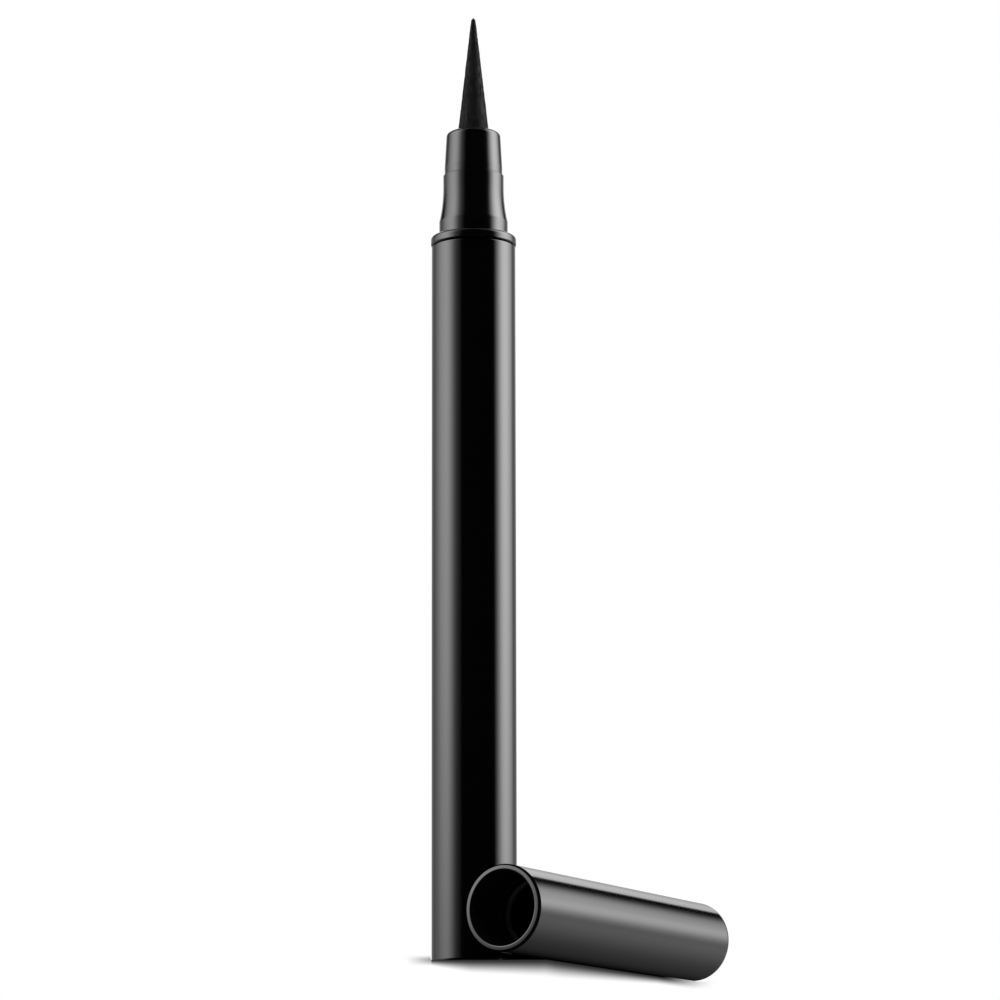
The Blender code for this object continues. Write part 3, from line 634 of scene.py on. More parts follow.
def felt_tree():
    """Presses long grooves into a turned felt rod, as between bonded fibres. They are shallower
    near its axis, where the nib thins out to its point.
    """
    tree, given = new_geometry_tree("felt_surface", depth="Float", width="Float",
                                    stretch="Float", start="Float")
    x, y, z = parts_of(tree, output(tree, "GeometryNodeInputPosition"))
    squeezed = add_node(tree, "ShaderNodeCombineXYZ",
                        {"X": x, "Y": y, "Z": z / given.stretch})
    noise = output(tree, "ShaderNodeTexNoise",
                   {"Vector": squeezed, "Scale": 1.0 / given.width, "Detail": FINE_DETAIL,
                    "Roughness": 0.6})
    thin = ramp(tree, long_side(tree, x, y), 0.0, FULL_GROOVES, LEAST_GROOVES, 1.0, "LINEAR")
    amount = (noise - UNPRESSED) * given.depth * thin * (z > given.start)
    normal = output(tree, "GeometryNodeInputNormal")
    offset = add_node(tree, "ShaderNodeVectorMath", {0: normal, "Scale": amount}, operation="SCALE")
    pressed = add_node(tree, "GeometryNodeSetPosition",
                       {"Geometry": given.geometry, "Offset": offset})
    return end_geometry_tree(tree, given, pressed)


def fibre_tree():
    """Lays loose fibres on a felt surface, nearly along its length."""
    tree, given = new_geometry_tree("felt_fibres", fibre="Object", density="Float",
                                    middle="Float", reach="Float", stray="Float", seed="Int")
    height = parts_of(tree, output(tree, "GeometryNodeInputPosition"))[2]
    shown = add_node(tree, "FunctionNodeCompare",
                     {0: abs(height - given.middle), 1: given.reach},
                     operation="LESS_THAN", data_type="FLOAT")
    spread = add_node(tree, "GeometryNodeDistributePointsOnFaces",
                      {"Mesh": given.geometry, "Selection": shown,
                       "Density": given.density, "Seed": given.seed})
    normal = spread.outputs["Normal"]
    side = add_node(tree, "ShaderNodeVectorMath", {0: normal, 1: (0.0, 0.0, 1.0)},
                    operation="CROSS_PRODUCT")
    long_way = add_node(tree, "ShaderNodeVectorMath", {0: side, 1: normal},
                        operation="CROSS_PRODUCT")
    stray = output(tree, "FunctionNodeRandomValue",
                   {"Min": -given.stray, "Max": given.stray, "Seed": given.seed},
                   "Value", data_type="FLOAT")
    turned = add_node(tree, "ShaderNodeVectorRotate",
                      {"Vector": long_way, "Axis": normal, "Angle": stray},
                      rotation_type="AXIS_ANGLE")
    aim = add_node(tree, "FunctionNodeAlignRotationToVector", {"Vector": turned}, axis="Z")
    across = add_node(tree, "FunctionNodeAlignRotationToVector",
                      {"Rotation": aim, "Vector": normal}, axis="X", pivot_axis="Z")
    size = output(tree, "FunctionNodeRandomValue",
                  {"Min": LEAST_FIBRE, "Max": MOST_FIBRE, "Seed": given.seed},
                  "Value", data_type="FLOAT_VECTOR")
    fibre = output(tree, "GeometryNodeObjectInfo", {"Object": given.fibre}, "Geometry")
    copies = add_node(tree, "GeometryNodeInstanceOnPoints",
                      {"Points": spread, "Instance": fibre, "Rotation": across, "Scale": size})
    return end_geometry_tree(tree, given, copies)


def apply_modifiers(piece):
    """Turn what a piece's modifiers make into its own plain mesh."""
    graph = bpy.context.evaluated_depsgraph_get()
    made = bpy.data.meshes.new_from_object(piece.evaluated_get(graph))
    before = piece.data
    piece.modifiers.clear()
    piece.data = made
    made.name = piece.name
    bpy.data.meshes.remove(before)


def run_tree(piece, name, make, finish, **values):
    """Run a geometry node tree on a piece and keep its result as a plain mesh. The tree is built
    the first time that it is needed.
    """
    modifier = piece.modifiers.new(name, "NODES")
    modifier.node_group = bpy.data.node_groups.get(name) or make()
    labelled = {label_of(key): value for key, value in {**values, "finish": finish}.items()}
    for socket in modifier.node_group.interface.items_tree:
        if socket.in_out == "INPUT" and socket.name in labelled:
            modifier[socket.identifier] = labelled[socket.name]
    apply_modifiers(piece)


def link_piece(name, mesh):
    """A new object in the scene for a mesh."""
    piece = bpy.data.objects.new(name, mesh)
    bpy.context.scene.collection.objects.link(piece)
    return piece


def mesh_from(name, points, faces=()):
    """A mesh from points and faces."""
    mesh = bpy.data.meshes.new(name)
    mesh.from_pydata([tuple(point) for point in points], [], faces)
    return mesh


def tidy_normals(piece):
    """Point a closed piece's faces outwards, with smooth shading but for its sharp edges."""
    shape = bmesh.new()
    shape.from_mesh(piece.data)
    bmesh.ops.remove_doubles(shape, verts=shape.verts, dist=MERGE)
    bmesh.ops.recalc_face_normals(shape, faces=shape.faces)
    shape.to_mesh(piece.data)
    shape.free()
    piece.data.shade_smooth()
    piece.data.set_sharp_from_angle(angle=SHARP_ANGLE)


def turned(name, points, sides, finish):
    """A piece whose outline is spun about the Z axis."""
    piece = link_piece(name, mesh_from(name, [(point.x, 0.0, point.y) for point in points]))
    run_tree(piece, "turned_form", turning_tree, finish, sides=sides)
    tidy_normals(piece)
    return piece


def piece_from(name, shape):
    """A new object in the scene for a shape that is freed."""
    mesh = bpy.data.meshes.new(name)
    shape.to_mesh(mesh)
    shape.free()
    return link_piece(name, mesh)


def block(name, low, high, rounding=0.0):
    """A bar between two corners, with its edges rounded where a rounding is given."""
    shape = bmesh.new()
    bmesh.ops.create_cube(shape, size=1.0)
    for vert in shape.verts:
        for axis in range(3):
            vert.co[axis] = high[axis] if vert.co[axis] > 0 else low[axis]
    if rounding > 0.0:
        bmesh.ops.bevel(shape, geom=shape.edges, offset=rounding, segments=3, profile=0.5,
                        affect="EDGES")
    return piece_from(name, shape)


def ring_of(piece, count, finish):
    """Copies of a bar, evenly spaced round the Z axis."""
    run_tree(piece, "ring_of_forms", ring_tree, finish, count=count)
    return piece


def combine(piece, tool, operation):
    """Join a form to a piece or cut it out, exactly, and drop the form."""
    modifier = piece.modifiers.new(tool.name, "BOOLEAN")
    modifier.operation = operation
    modifier.object = tool
    modifier.solver = "EXACT"
    apply_modifiers(piece)
    bpy.data.objects.remove(tool, do_unlink=True)
    tidy_normals(piece)


def paint(piece, finish, chosen):
    """Give a finish to the faces whose middle is chosen."""
    if finish.name not in piece.data.materials:
        piece.data.materials.append(finish)
    place = piece.data.materials.find(finish.name)
    for face in piece.data.polygons:
        if chosen(face.center):
            face.material_index = place


def dress(piece, body, slot, *nodes):
    """Let a finished piece move with its body and stand for its packed solid."""
    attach(piece, body)
    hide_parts(*nodes)


def new_material(name, tone, roughness, others=()):
    """A material with one Principled shader. Returns the material, its tree and the shader."""
    material = bpy.data.materials.new(name)
    material.use_nodes = True
    material.diffuse_color = (*tone, 1.0)
    tree = material.node_tree
    shader = tree.nodes["Principled BSDF"]
    fill(tree, shader, {"Base Color": (*tone, 1.0), "Roughness": roughness, "IOR": 1.5,
                        **dict(others)})
    return material, tree, shader


def object_noise(tree, feature, detail=2.0, stretch=1.0):
    """Noise whose features have a size in metres, stretched along Z."""
    coordinate = output(tree, "ShaderNodeTexCoord", which="Object")
    mapping = add_node(tree, "ShaderNodeMapping",
                       {"Vector": coordinate, "Scale": (1.0, 1.0, 1.0 / stretch)})
    return output(tree, "ShaderNodeTexNoise",
                  {"Vector": mapping, "Scale": 1.0 / feature, "Detail": detail})


def scaled(tone, factor):
    """A lighter or darker tone of the same colour."""
    return tuple(channel * factor for channel in tone)


def vary(tree, shader, tones, tone_by, gloss, gloss_by, relief, height,
         spread=(0.3, 0.7), kind="SMOOTHSTEP"):
    """Let noise vary a shader: its colour between two tones, its roughness between two values over
    a spread of the noise, and its surface by a relief with a height.
    """
    first, second = tones
    tone = output(tree, "ShaderNodeMix", {0: tone_by, 6: (*first, 1.0), 7: (*second, 1.0)}, 2,
                  data_type="RGBA")
    raised = add_node(tree, "ShaderNodeBump",
                      {"Height": relief, "Distance": height, "Strength": 1.0})
    fill(tree, shader, {"Base Color": tone, "Normal": raised,
                        "Roughness": ramp(tree, gloss_by, *spread, *gloss, kind)})


def plastic(name, tone, roughness, peel, grain, grain_height):
    """Moulded black plastic: its tone and gloss drift a little, over a fine moulded skin."""
    if name in bpy.data.materials:
        return bpy.data.materials[name]
    tone = tuple(tone)
    material, tree, shader = new_material(name, tone, roughness)
    drift = object_noise(tree, peel * 9)
    fine = object_noise(tree, grain, FINE_DETAIL)
    blend = calculate(tree, "MULTIPLY_ADD", fine, 0.5, drift * 0.5)
    skin = calculate(tree, "MULTIPLY_ADD", fine, grain_height, object_noise(tree, peel))
    vary(tree, shader, tones=(tone, scaled(tone, 1.35)), tone_by=drift,
         gloss=(roughness * 0.88, roughness * 1.12), gloss_by=blend, kind="LINEAR",
         relief=skin, height=0.0000004)
    return material


def gloss_black(settings):
    """The barrel's and the cap's mirror-like black."""
    return plastic("barrel_gloss", settings.colour, settings.roughness, peel=0.0016,
                   grain=0.00012, grain_height=0.02)


def section_black(settings):
    """The section's and the nozzle's black, a shade softer than the barrel's."""
    return plastic("section_gloss", settings.colour, settings.roughness, peel=0.0012,
                   grain=0.0001, grain_height=0.03)


def cup_black(settings):
    """The matt black of the pieces that don't show from outside."""
    return plastic("cup_matt", settings.colour, 0.42, peel=0.0009, grain=0.00006,
                   grain_height=0.6)


def matt_black(settings):
    """The unpolished, spark-eroded black of the cap's mouth edge and bore."""
    tone = tuple(settings.colour)
    material, tree, shader = new_material("cap_matt", tone, 0.6, {"Specular IOR Level": 0.0})
    grain = object_noise(tree, 0.00005, FINE_DETAIL)
    vary(tree, shader, tones=(tone, scaled(tone, 1.5)), tone_by=grain, gloss=(0.5, 0.7),
         gloss_by=grain, relief=grain, height=0.000002)
    return material


def rubber(settings):
    """Soft dark ring: dull, with a dusty bloom and fine pores."""
    if "soft_ring" in bpy.data.materials:
        return bpy.data.materials["soft_ring"]
    tone = tuple(settings.ring_colour)
    material, tree, shader = new_material("soft_ring", tone, 0.6)
    bloom = object_noise(tree, 0.0009, 4.0)
    pores = object_noise(tree, 0.00006, FINE_DETAIL)
    vary(tree, shader, tones=(tone, scaled(tone, 1.8)), tone_by=bloom, gloss=(0.5, 0.72),
         gloss_by=bloom, relief=pores, height=0.000002)
    return material


def steel(name, tone, feature):
    """Bright drawn or ground steel: fine lines in its gloss and faint stains."""
    material, tree, shader = new_material(name, tone, 0.25, {"Metallic": 1.0})
    lines = object_noise(tree, feature, FINE_DETAIL)
    stain = object_noise(tree, feature * 30, FINE_DETAIL)
    vary(tree, shader, tones=(tone, scaled(tone, 0.8)), tone_by=stain, gloss=(0.16, 0.34),
         gloss_by=lines, spread=(0.35, 0.65), relief=lines, height=0.0000006)
    return material


def clear_plastic(settings):
    """Milky clear bottle: light goes through it, dulled by a fine haze."""
    tone = tuple(settings.bottle_colour)
    material, tree, shader = new_material("bottle_clear", tone, 0.28,
                                          {"IOR": 1.49, "Transmission Weight": 0.55})
    haze = object_noise(tree, 0.0011, FINE_DETAIL, 4.0)
    waves = object_noise(tree, 0.0006)
    vary(tree, shader, tones=(tone, scaled(tone, 0.9)), tone_by=haze, gloss=(0.22, 0.36),
         gloss_by=haze, relief=waves, height=0.0000008)
    return material


def feed_plastic(settings):
    """White moulded feed, greyed where ink has crept along its fins."""
    tone = tuple(settings.colour)
    material, tree, shader = new_material("feed_white", tone, 0.4)
    creep = object_noise(tree, 0.0013, 4.0, 0.3)
    inked = ramp(tree, creep, 0.56, 0.72)
    grain = object_noise(tree, 0.00008, FINE_DETAIL)
    vary(tree, shader, tones=(tone, scaled(tone, 0.35)), tone_by=inked, gloss=(0.34, 0.48),
         gloss_by=creep, relief=grain, height=0.0000012)
    return material


def fibres(name, dark, light, width, stretch, roughness, sheen):
    """Bonded fibres: long streaks of light and dark, mottled, with a soft sheen. The dark tone lies
    in the hollows of the relief as painted shade between the fibres, the light tone on its ridges.
    """
    material, tree, shader = new_material(name, light, roughness,
                                          {"Sheen Weight": sheen, "Sheen Roughness": 0.45})
    streak = object_noise(tree, width, 4.0, stretch)
    mottle = object_noise(tree, width * 5, FINE_DETAIL, 1.6)
    mixed = calculate(tree, "MULTIPLY_ADD", mottle, 0.45, streak * 0.55)
    # The tone follows the relief's noise: painted shade between the fibres, lighter on their ridges
    vary(tree, shader, tones=(dark, light), tone_by=ramp(tree, mixed, 0.36, 0.64),
         gloss=(roughness - 0.12, roughness + 0.1), gloss_by=streak, kind="LINEAR",
         relief=mixed, height=width * 0.12)
    return material


def barrel_corners(settings):
    """Outline of the barrel, a tube open at both ends."""
    bore = settings.radius - settings.wall
    rim = barrel_high.z + settings.rim_rise
    return [
        (bore, barrel_low.z, FINE_SEAM),
        (settings.radius, barrel_low.z, settings.foot_round),
        (settings.radius, rim, settings.rim_round),
        (bore, rim, FINE_SEAM / 2),
    ]


def plug_corners(settings):
    """Outline of the plug: a gate mark in a shallow recess, a ribbed skirt and a hollow."""
    rib_radius = settings.radius - settings.wall - PRESS_GAP
    skirt_radius = rib_radius - PLUG_RIB
    cup_radius = skirt_radius - settings.plug_wall
    recess_radius = rib_radius * RECESS_SHARE
    gate_radius = rib_radius * GATE_SHARE
    bottom = plug_low.z
    gate = bottom + settings.plug_recess * GATE_DEPTH
    recess = bottom + settings.plug_recess
    floor = bottom + settings.plug_floor
    top = plug_high.z
    pitch = (top - floor) / (settings.plug_ribs + 1)
    corners = [
        (0.0, gate),
        (gate_radius, gate, FINE_SEAM / 2),
        (gate_radius, recess),
        (recess_radius, recess, FINE_SEAM),
        (recess_radius + settings.plug_recess / 2, bottom, FINE_SEAM),
        (rib_radius, bottom, FINE_SEAM),
        (rib_radius, floor, FINE_SEAM),
        (skirt_radius, floor + PLUG_RIB),
    ]
    for rib in range(settings.plug_ribs):
        middle = floor + pitch * (rib + 1)
        corners += [
            (skirt_radius, middle - pitch / 4),
            (rib_radius, middle, FINE_SEAM),
            (skirt_radius, middle + pitch / 4),
        ]
    corners += [
        (skirt_radius, top, FINE_SEAM),
        (cup_radius, top, FINE_SEAM),
        (cup_radius, floor, settings.plug_wall / 2),
        (0.0, floor),
    ]
    return corners


class MakeBarrel(bpy.types.Operator):
    """Make the barrel and the plug in its foot"""
    bl_idname = "eyeliner.make_barrel"
    bl_label = "Barrel and Tail Plug"

    def execute(self, context):
        settings = context.scene.eyeliner_barrel
        tube = turned("barrel_tube", outline(barrel_corners(settings), True), OUTER_SIDES,
                      gloss_black(settings))
        dress(tube, "pen", "gloss_black", "barrel")
        plug = turned("tail_cup", outline(plug_corners(settings)), INNER_SIDES,
                      cup_black(context.scene.eyeliner_cup))
        dress(plug, "pen", "inner_black", "tail_plug")
        return {"FINISHED"}


def section_heights(settings):
    """Heights of the flange's underside and top, and of the band's top."""
    band_top = section_high.z - settings.neck_height - settings.flare_height
    flange_top = band_top - settings.band_height
    return flange_top - settings.flange_height, flange_top, band_top


def flare_corners(settings, bottom):
    """Concave flare from the grip band up to the neck, a parabola in height."""
    spread = settings.band_radius - settings.neck_radius
    rises = [step / FLARE_STEPS for step in range(1, FLARE_STEPS + 1)]
    return [(settings.neck_radius + spread * (1 - rise) ** 2,
             bottom + settings.flare_height * rise) for rise in rises]


def section_corners(settings, spigot_radius):
    """Outline of the front section, up from its spigot's mouth to the step and down its bore."""
    bottom = section_low.z
    top = section_high.z
    flange_bottom, flange_top, band_top = section_heights(settings)
    shoulder = flange_bottom + settings.shoulder
    spigot_bore = spigot_radius - settings.spigot_wall
    neck_bore = settings.neck_radius - settings.neck_wall
    relief = spigot_radius - PRESS_GAP / 2
    land = SEAT_GAP * 4
    return [
        (spigot_bore, bottom, FINE_SEAM),
        (spigot_radius - PRESS_GAP, bottom, FINE_SEAM),
        (spigot_radius, bottom + PRESS_GAP * 2, FINE_SEAM),
        (spigot_radius, bottom + land, FINE_SEAM),
        (relief, bottom + land + PRESS_GAP, FINE_SEAM),
        (relief, flange_bottom - land - PRESS_GAP, FINE_SEAM),
        (spigot_radius, flange_bottom - land, FINE_SEAM),
        (spigot_radius, flange_bottom),
        (section_high.x, flange_bottom, settings.flange_seam),
        (section_high.x, flange_top, settings.flange_round),
        (settings.band_radius, flange_top, FINE_SEAM * 1.5),
        (settings.band_radius, band_top),
        *flare_corners(settings, band_top),
        (settings.neck_radius, top, FINE_SEAM / 2),
        (neck_bore, top, FINE_SEAM),
        (neck_bore, shoulder, FINE_SEAM),
        (spigot_bore, shoulder, FINE_SEAM),
    ]


class MakeSection(bpy.types.Operator):
    """Make the front section between the barrel and the nozzle"""
    bl_idname = "eyeliner.make_section"
    bl_label = "Front Section"

    def execute(self, context):
        settings = context.scene.eyeliner_section
        barrel = context.scene.eyeliner_barrel
        spigot_radius = barrel.radius - barrel.wall - PRESS_GAP
        section = turned("front_section", outline(section_corners(settings, spigot_radius), True),
                         OUTER_SIDES, section_black(settings))
        dress(section, "pen", "section_black", "section")
        return {"FINISHED"}


def nozzle_corners(settings, section, bore):
    """Outline of the nozzle: its hidden spigot, the step, the straight foot and the taper."""
    spigot = section.neck_radius - section.neck_wall - PRESS_GAP
    foot = section_high.z + settings.step_gap
    return [
        (bore, nozzle_low.z, FINE_SEAM / 2),
        (spigot, nozzle_low.z, FINE_SEAM),
        (spigot, foot),
        (nozzle_high.x, foot, FINE_SEAM / 2),
        (nozzle_high.x, foot + settings.straight, settings.straight * 2),
        (settings.tip_radius, nozzle_high.z, settings.tip_round),
        (bore, nozzle_high.z, FINE_SEAM),
    ]


class MakeNozzle(bpy.types.Operator):
    """Make the nozzle that holds the nib, with its air vents"""
    bl_idname = "eyeliner.make_nozzle"
    bl_label = "Nozzle"

    def execute(self, context):
        settings = context.scene.eyeliner_nozzle
        section = context.scene.eyeliner_section
        finish = section_black(section)
        bore = nib_high.x + PRESS_GAP
        nozzle = turned("nozzle", outline(nozzle_corners(settings, section, bore), True),
                        OUTER_SIDES, finish)
        half = settings.vent_width / 2
        vent = block("vent_cutter", (0.0, -half, nozzle_low.z - CUT_OVERRUN),
                     (bore + settings.vent_depth, half, nozzle_high.z + CUT_OVERRUN))
        combine(nozzle, ring_of(vent, settings.vents, finish), "DIFFERENCE")
        dress(nozzle, "pen", "section_black", "nib_holder")
        return {"FINISHED"}


def nib_corners(settings):
    """Outline of the nib: a chamfered back, a straight shank and a long straight taper."""
    chamfer = 2 * PRESS_GAP
    return [
        (0.0, nib_low.z),
        (nib_high.x - chamfer, nib_low.z),
        (nib_high.x, nib_low.z + chamfer),
        (nib_high.x, nozzle_high.z - settings.taper_start),
        (settings.point_radius, nib_high.z - settings.point_radius, settings.point_radius),
        (0.0, nib_high.z),
    ]


def single_fibre(settings):
    """One loose fibre along Z: a bowed, pointed thread with four sides."""
    rings = 6
    sides = 4
    blunt = 0.08
    bow = settings.fibre_radius * 2.2
    points = []
    faces = [range(sides), range(sides * rings, sides * (rings + 1))]
    for ring in range(rings + 1):
        along = ring / rings
        thickness = settings.fibre_radius * math.sin(math.pi * (blunt + (1 - 2 * blunt) * along))
        lift = bow * math.sin(math.pi * along) - settings.fibre_radius
        for side in range(sides):
            turn = math.tau * side / sides
            points.append((lift + thickness * math.cos(turn), thickness * math.sin(turn),
                           settings.fibre_length * (along - 0.5)))
            if ring < rings:
                low = sides * ring
                after = low + (side + 1) % sides
                faces.append((low + side, after, after + sides, low + side + sides))
    piece = link_piece("fibre_form", mesh_from("fibre_form", points, faces))
    tidy_normals(piece)
    return piece


class MakeNib(bpy.types.Operator):
    """Make the felt nib, with grooves between its fibres and loose fibres on it"""
    bl_idname = "eyeliner.make_nib"
    bl_label = "Felt Nib"

    def execute(self, context):
        settings = context.scene.eyeliner_nib
        felt = fibres("felt", tuple(settings.dark), tuple(settings.light), width=0.00011,
                      stretch=14.0, roughness=0.66, sheen=0.0)
        shader = felt.node_tree.nodes["Principled BSDF"]
        shader.inputs["Specular IOR Level"].default_value = settings.shine
        start = nozzle_high.z - settings.taper_start
        points = divided(outline(nib_corners(settings)), NIB_FACET)
        nib = turned("felt_tip", points, INNER_SIDES, felt)
        run_tree(nib, "felt_surface", felt_tree, felt, depth=settings.groove_depth * 2,
                 width=settings.groove_width, stretch=9.0, start=start)
        tidy_normals(nib)
        loose = link_piece("felt_fibres", nib.data.copy())
        fibre = single_fibre(settings)
        end = nib_high.z - settings.fibre_length
        run_tree(loose, "felt_fibres", fibre_tree, felt, fibre=fibre,
                 density=settings.fibre_density, middle=(start + end) / 2,
                 reach=(end - start) / 2, stray=settings.stray, seed=settings.seed)
        bpy.data.objects.remove(fibre, do_unlink=True)
        loose.data.shade_smooth()
        dress(nib, "pen", "felt_black", "nib")
        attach(loose, "pen")
        return {"FINISHED"}


def cap_outside(settings, place):
    """Radius of the cap's outside at a distance from its mouth."""
    return cap_radius + (settings.end_radius - cap_radius) * place / settings.length


def cap_bore(settings, place):
    """Radius of the cap's bore, which tapers with its outside."""
    return cap_outside(settings, place) - settings.wall


def lip_corners(settings):
    """The mouth's outer edge, a quarter of an ellipse that is longer along the cap."""
    corners = []
    for step in range(LIP_STEPS + 1):
        turn = math.pi / 2 * step / LIP_STEPS
        across = settings.lip_across * (1 - math.cos(turn))
        along = settings.lip_slope + settings.lip_along * (1 - math.sin(turn))
        corners.append((cap_outside(settings, along) - across, along))
    return corners


def cap_corners(settings):
    """Outline of the cap's shell, down its outside and back up its bore to the spring post."""
    bead = settings.bead_place
    front = bead - settings.bead_half
    back = bead + settings.bead_half
    inside = settings.length - settings.end_wall
    tip = inside - settings.post_length
    return [
        (0.0, settings.length),
        (settings.end_radius, settings.length, settings.end_round),
        (cap_outside(settings, settings.matt_length), settings.matt_length),
        *lip_corners(settings),
        (cap_bore(settings, 0.0), 0.0, settings.bore_round),
        (cap_bore(settings, front), front, FINE_SEAM),
        (cap_bore(settings, bead) - settings.bead_height, bead, settings.bead_half / 2),
        (cap_bore(settings, back), back, FINE_SEAM),
        (cap_bore(settings, inside), inside, 2 * PRESS_GAP),
        (settings.post_radius, inside, PRESS_GAP),
        (settings.post_radius, tip, 2 * PRESS_GAP),
        (0.0, tip),
    ]


class MakeCap(bpy.types.Operator):
    """Make the cap's shell, with its grip ribs, bead and spring post"""
    bl_idname = "eyeliner.make_cap"
    bl_label = "Cap Shell"

    def execute(self, context):
        settings = context.scene.eyeliner_cap
        finish = gloss_black(context.scene.eyeliner_barrel)
        shell = turned("cap_case", outline(cap_corners(settings)), OUTER_SIDES, finish)
        bore = cap_bore(settings, settings.grip_front)
        half = settings.grip_width / 2
        grip = block("grip_rib", (bore - settings.grip_height, -half, settings.grip_front),
                     (bore + settings.wall / 2, half, settings.grip_front + settings.grip_length),
                     settings.grip_height / 2)
        combine(shell, ring_of(grip, settings.grips, finish), "UNION")

        def unpolished(place):
            """Whether a place lies behind the mouth's face, on its edge or in the bore."""
            inside = (place.z < settings.length - settings.end_wall / 2
                      and place.xy.length < cap_outside(settings, place.z) - settings.wall / 2)
            return settings.lip_slope < place.z and (place.z < settings.matt_length or inside)

        paint(shell, matt_black(context.scene.eyeliner_cup), unpolished)
        shell.data.transform(cap_place)
        dress(shell, "cap", "gloss_black", "cap_shell")
        return {"FINISHED"}


def cup_corners(settings, flange_radius):
    """Outline of the inner cup, down its outside and back up its throat and chamber."""
    back = settings.front + settings.length
    flange_back = settings.front + settings.flange
    throat_back = settings.front + settings.throat_depth
    throat_outer = settings.throat_radius + settings.throat_wall
    chamber_outer = settings.chamber_radius + settings.wall
    inside = back - settings.end_wall
    return [
        (0.0, back),
        (chamber_outer, back, settings.end_round),
        (chamber_outer, throat_back + settings.wall, FINE_SEAM),
        (throat_outer, throat_back, FINE_SEAM),
        (throat_outer, flange_back, FINE_SEAM),
        (flange_radius, flange_back, FINE_SEAM),
        (flange_radius, settings.front, FINE_SEAM),
        (settings.throat_radius, settings.front, FINE_SEAM),
        (settings.throat_radius, throat_back - settings.wall, FINE_SEAM),
        (settings.chamber_radius, throat_back, FINE_SEAM),
        (settings.chamber_radius, inside, settings.end_round),
        (0.0, inside),
    ]


class MakeCup(bpy.types.Operator):
    """Make the sprung inner cup and the soft ring on its mouth"""
    bl_idname = "eyeliner.make_cup"
    bl_label = "Inner Cup and Ring"

    def execute(self, context):
        settings = context.scene.eyeliner_cup
        cap = context.scene.eyeliner_cap
        finish = cup_black(settings)
        flange_radius = cap_bore(cap, settings.front + settings.flange) - PRESS_GAP
        cup = turned("sprung_cup", outline(cup_corners(settings, flange_radius)), INNER_SIDES,
                     finish)
        outer = settings.chamber_radius + settings.wall
        half = settings.rib_width / 2
        rib_front = settings.front + settings.throat_depth + settings.wall
        rib_back = settings.front + settings.length - settings.end_round
        rib = block("guide_rib", (outer - settings.wall / 2, -half, rib_front),
                    (outer + settings.rib_height, half, rib_back), FINE_SEAM)
        combine(cup, ring_of(rib, settings.ribs, finish), "UNION")
        cup.data.transform(cap_place)
        dress(cup, "inner_cap", "inner_black", "inner_cap")
        corners = ring_corners(settings.ring_bore, cap_bore(cap, settings.front) - PRESS_GAP,
                               settings.ring_front, settings.ring_front + settings.ring_thickness,
                               settings.ring_round)
        ring = turned("cup_lip_ring", outline(corners, True), INNER_SIDES, rubber(settings))
        ring.data.transform(cap_place)
        dress(ring, "inner_cap", "seal_grey", "inner_cap_seal")
        return {"FINISHED"}


class MakeSpring(bpy.types.Operator):
    """Make the coil spring that presses the inner cup forward"""
    bl_idname = "eyeliner.make_spring"
    bl_label = "Cap Spring"

    def execute(self, context):
        settings = context.scene.eyeliner_spring
        spring = link_piece("coil_spring", mesh_from("coil_spring", [(0.0, 0.0, 0.0)]))
        run_tree(spring, "coil", coil_tree, steel("spring_wire", tuple(settings.colour), 0.00006),
                 open_turns=settings.turns, coil_radius=settings.coil_radius,
                 wire_radius=settings.wire / 2, closed_pitch=settings.closed_pitch,
                 length=settings.back - settings.front - settings.wire, turn_points=36,
                 wire_sides=16)
        tidy_normals(spring)
        spring.data.transform(Matrix.Translation((0.0, 0.0, settings.front + settings.wire / 2)))
        spring.data.transform(cap_place)
        dress(spring, "cap", "steel", "cap_spring")
        1 - cup_travel / (settings.back - settings.front)
        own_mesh(spring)
        return {"FINISHED"}


def bottle_corners(settings, barrel):
    """Outline of the ink bottle: a narrow tail, a shoulder, a long wall and an open rim."""
    tail = barrel.radius - barrel.wall - 2 * PRESS_GAP - PLUG_RIB - barrel.plug_wall
    shoulder = plug_high.z + SEAT_GAP
    shoulder_top = shoulder + settings.shoulder
    outer = tank_high.x
    bore = outer - settings.wall
    floor = tank_low.z + settings.floor
    return [
        (0.0, tank_low.z),
        (tail, tank_low.z, settings.floor / 2),
        (tail, shoulder, FINE_SEAM),
        (outer, shoulder_top, PRESS_GAP),
        (outer, tank_high.z, FINE_SEAM),
        (bore, tank_high.z, FINE_SEAM),
        (bore, shoulder_top + settings.wall / 2, PRESS_GAP),
        (tail - settings.wall, shoulder + settings.wall / 2, FINE_SEAM),
        (tail - settings.wall, floor, settings.floor / 2),
        (0.0, floor),
    ]


def ball_points():
    """Outline of the stirring ball, half a circle from its foot to its top."""
    radius = (ball_high.z - ball_low.z) / 2
    middle = ball_low.z + radius
    turns = [math.pi * step / BALL_STEPS for step in range(BALL_STEPS + 1)]
    return [Vector((radius * math.sin(turn), middle - radius * math.cos(turn))) for turn in turns]


def wick_corners(chamfer):
    """Outline of the wick, a rod with both ends chamfered."""
    return [
        (0.0, wick_low.z),
        (wick_high.x - chamfer, wick_low.z),
        (wick_high.x, wick_low.z + chamfer),
        (wick_high.x, wick_high.z - chamfer),
        (wick_high.x - chamfer, wick_high.z),
        (0.0, wick_high.z),
    ]


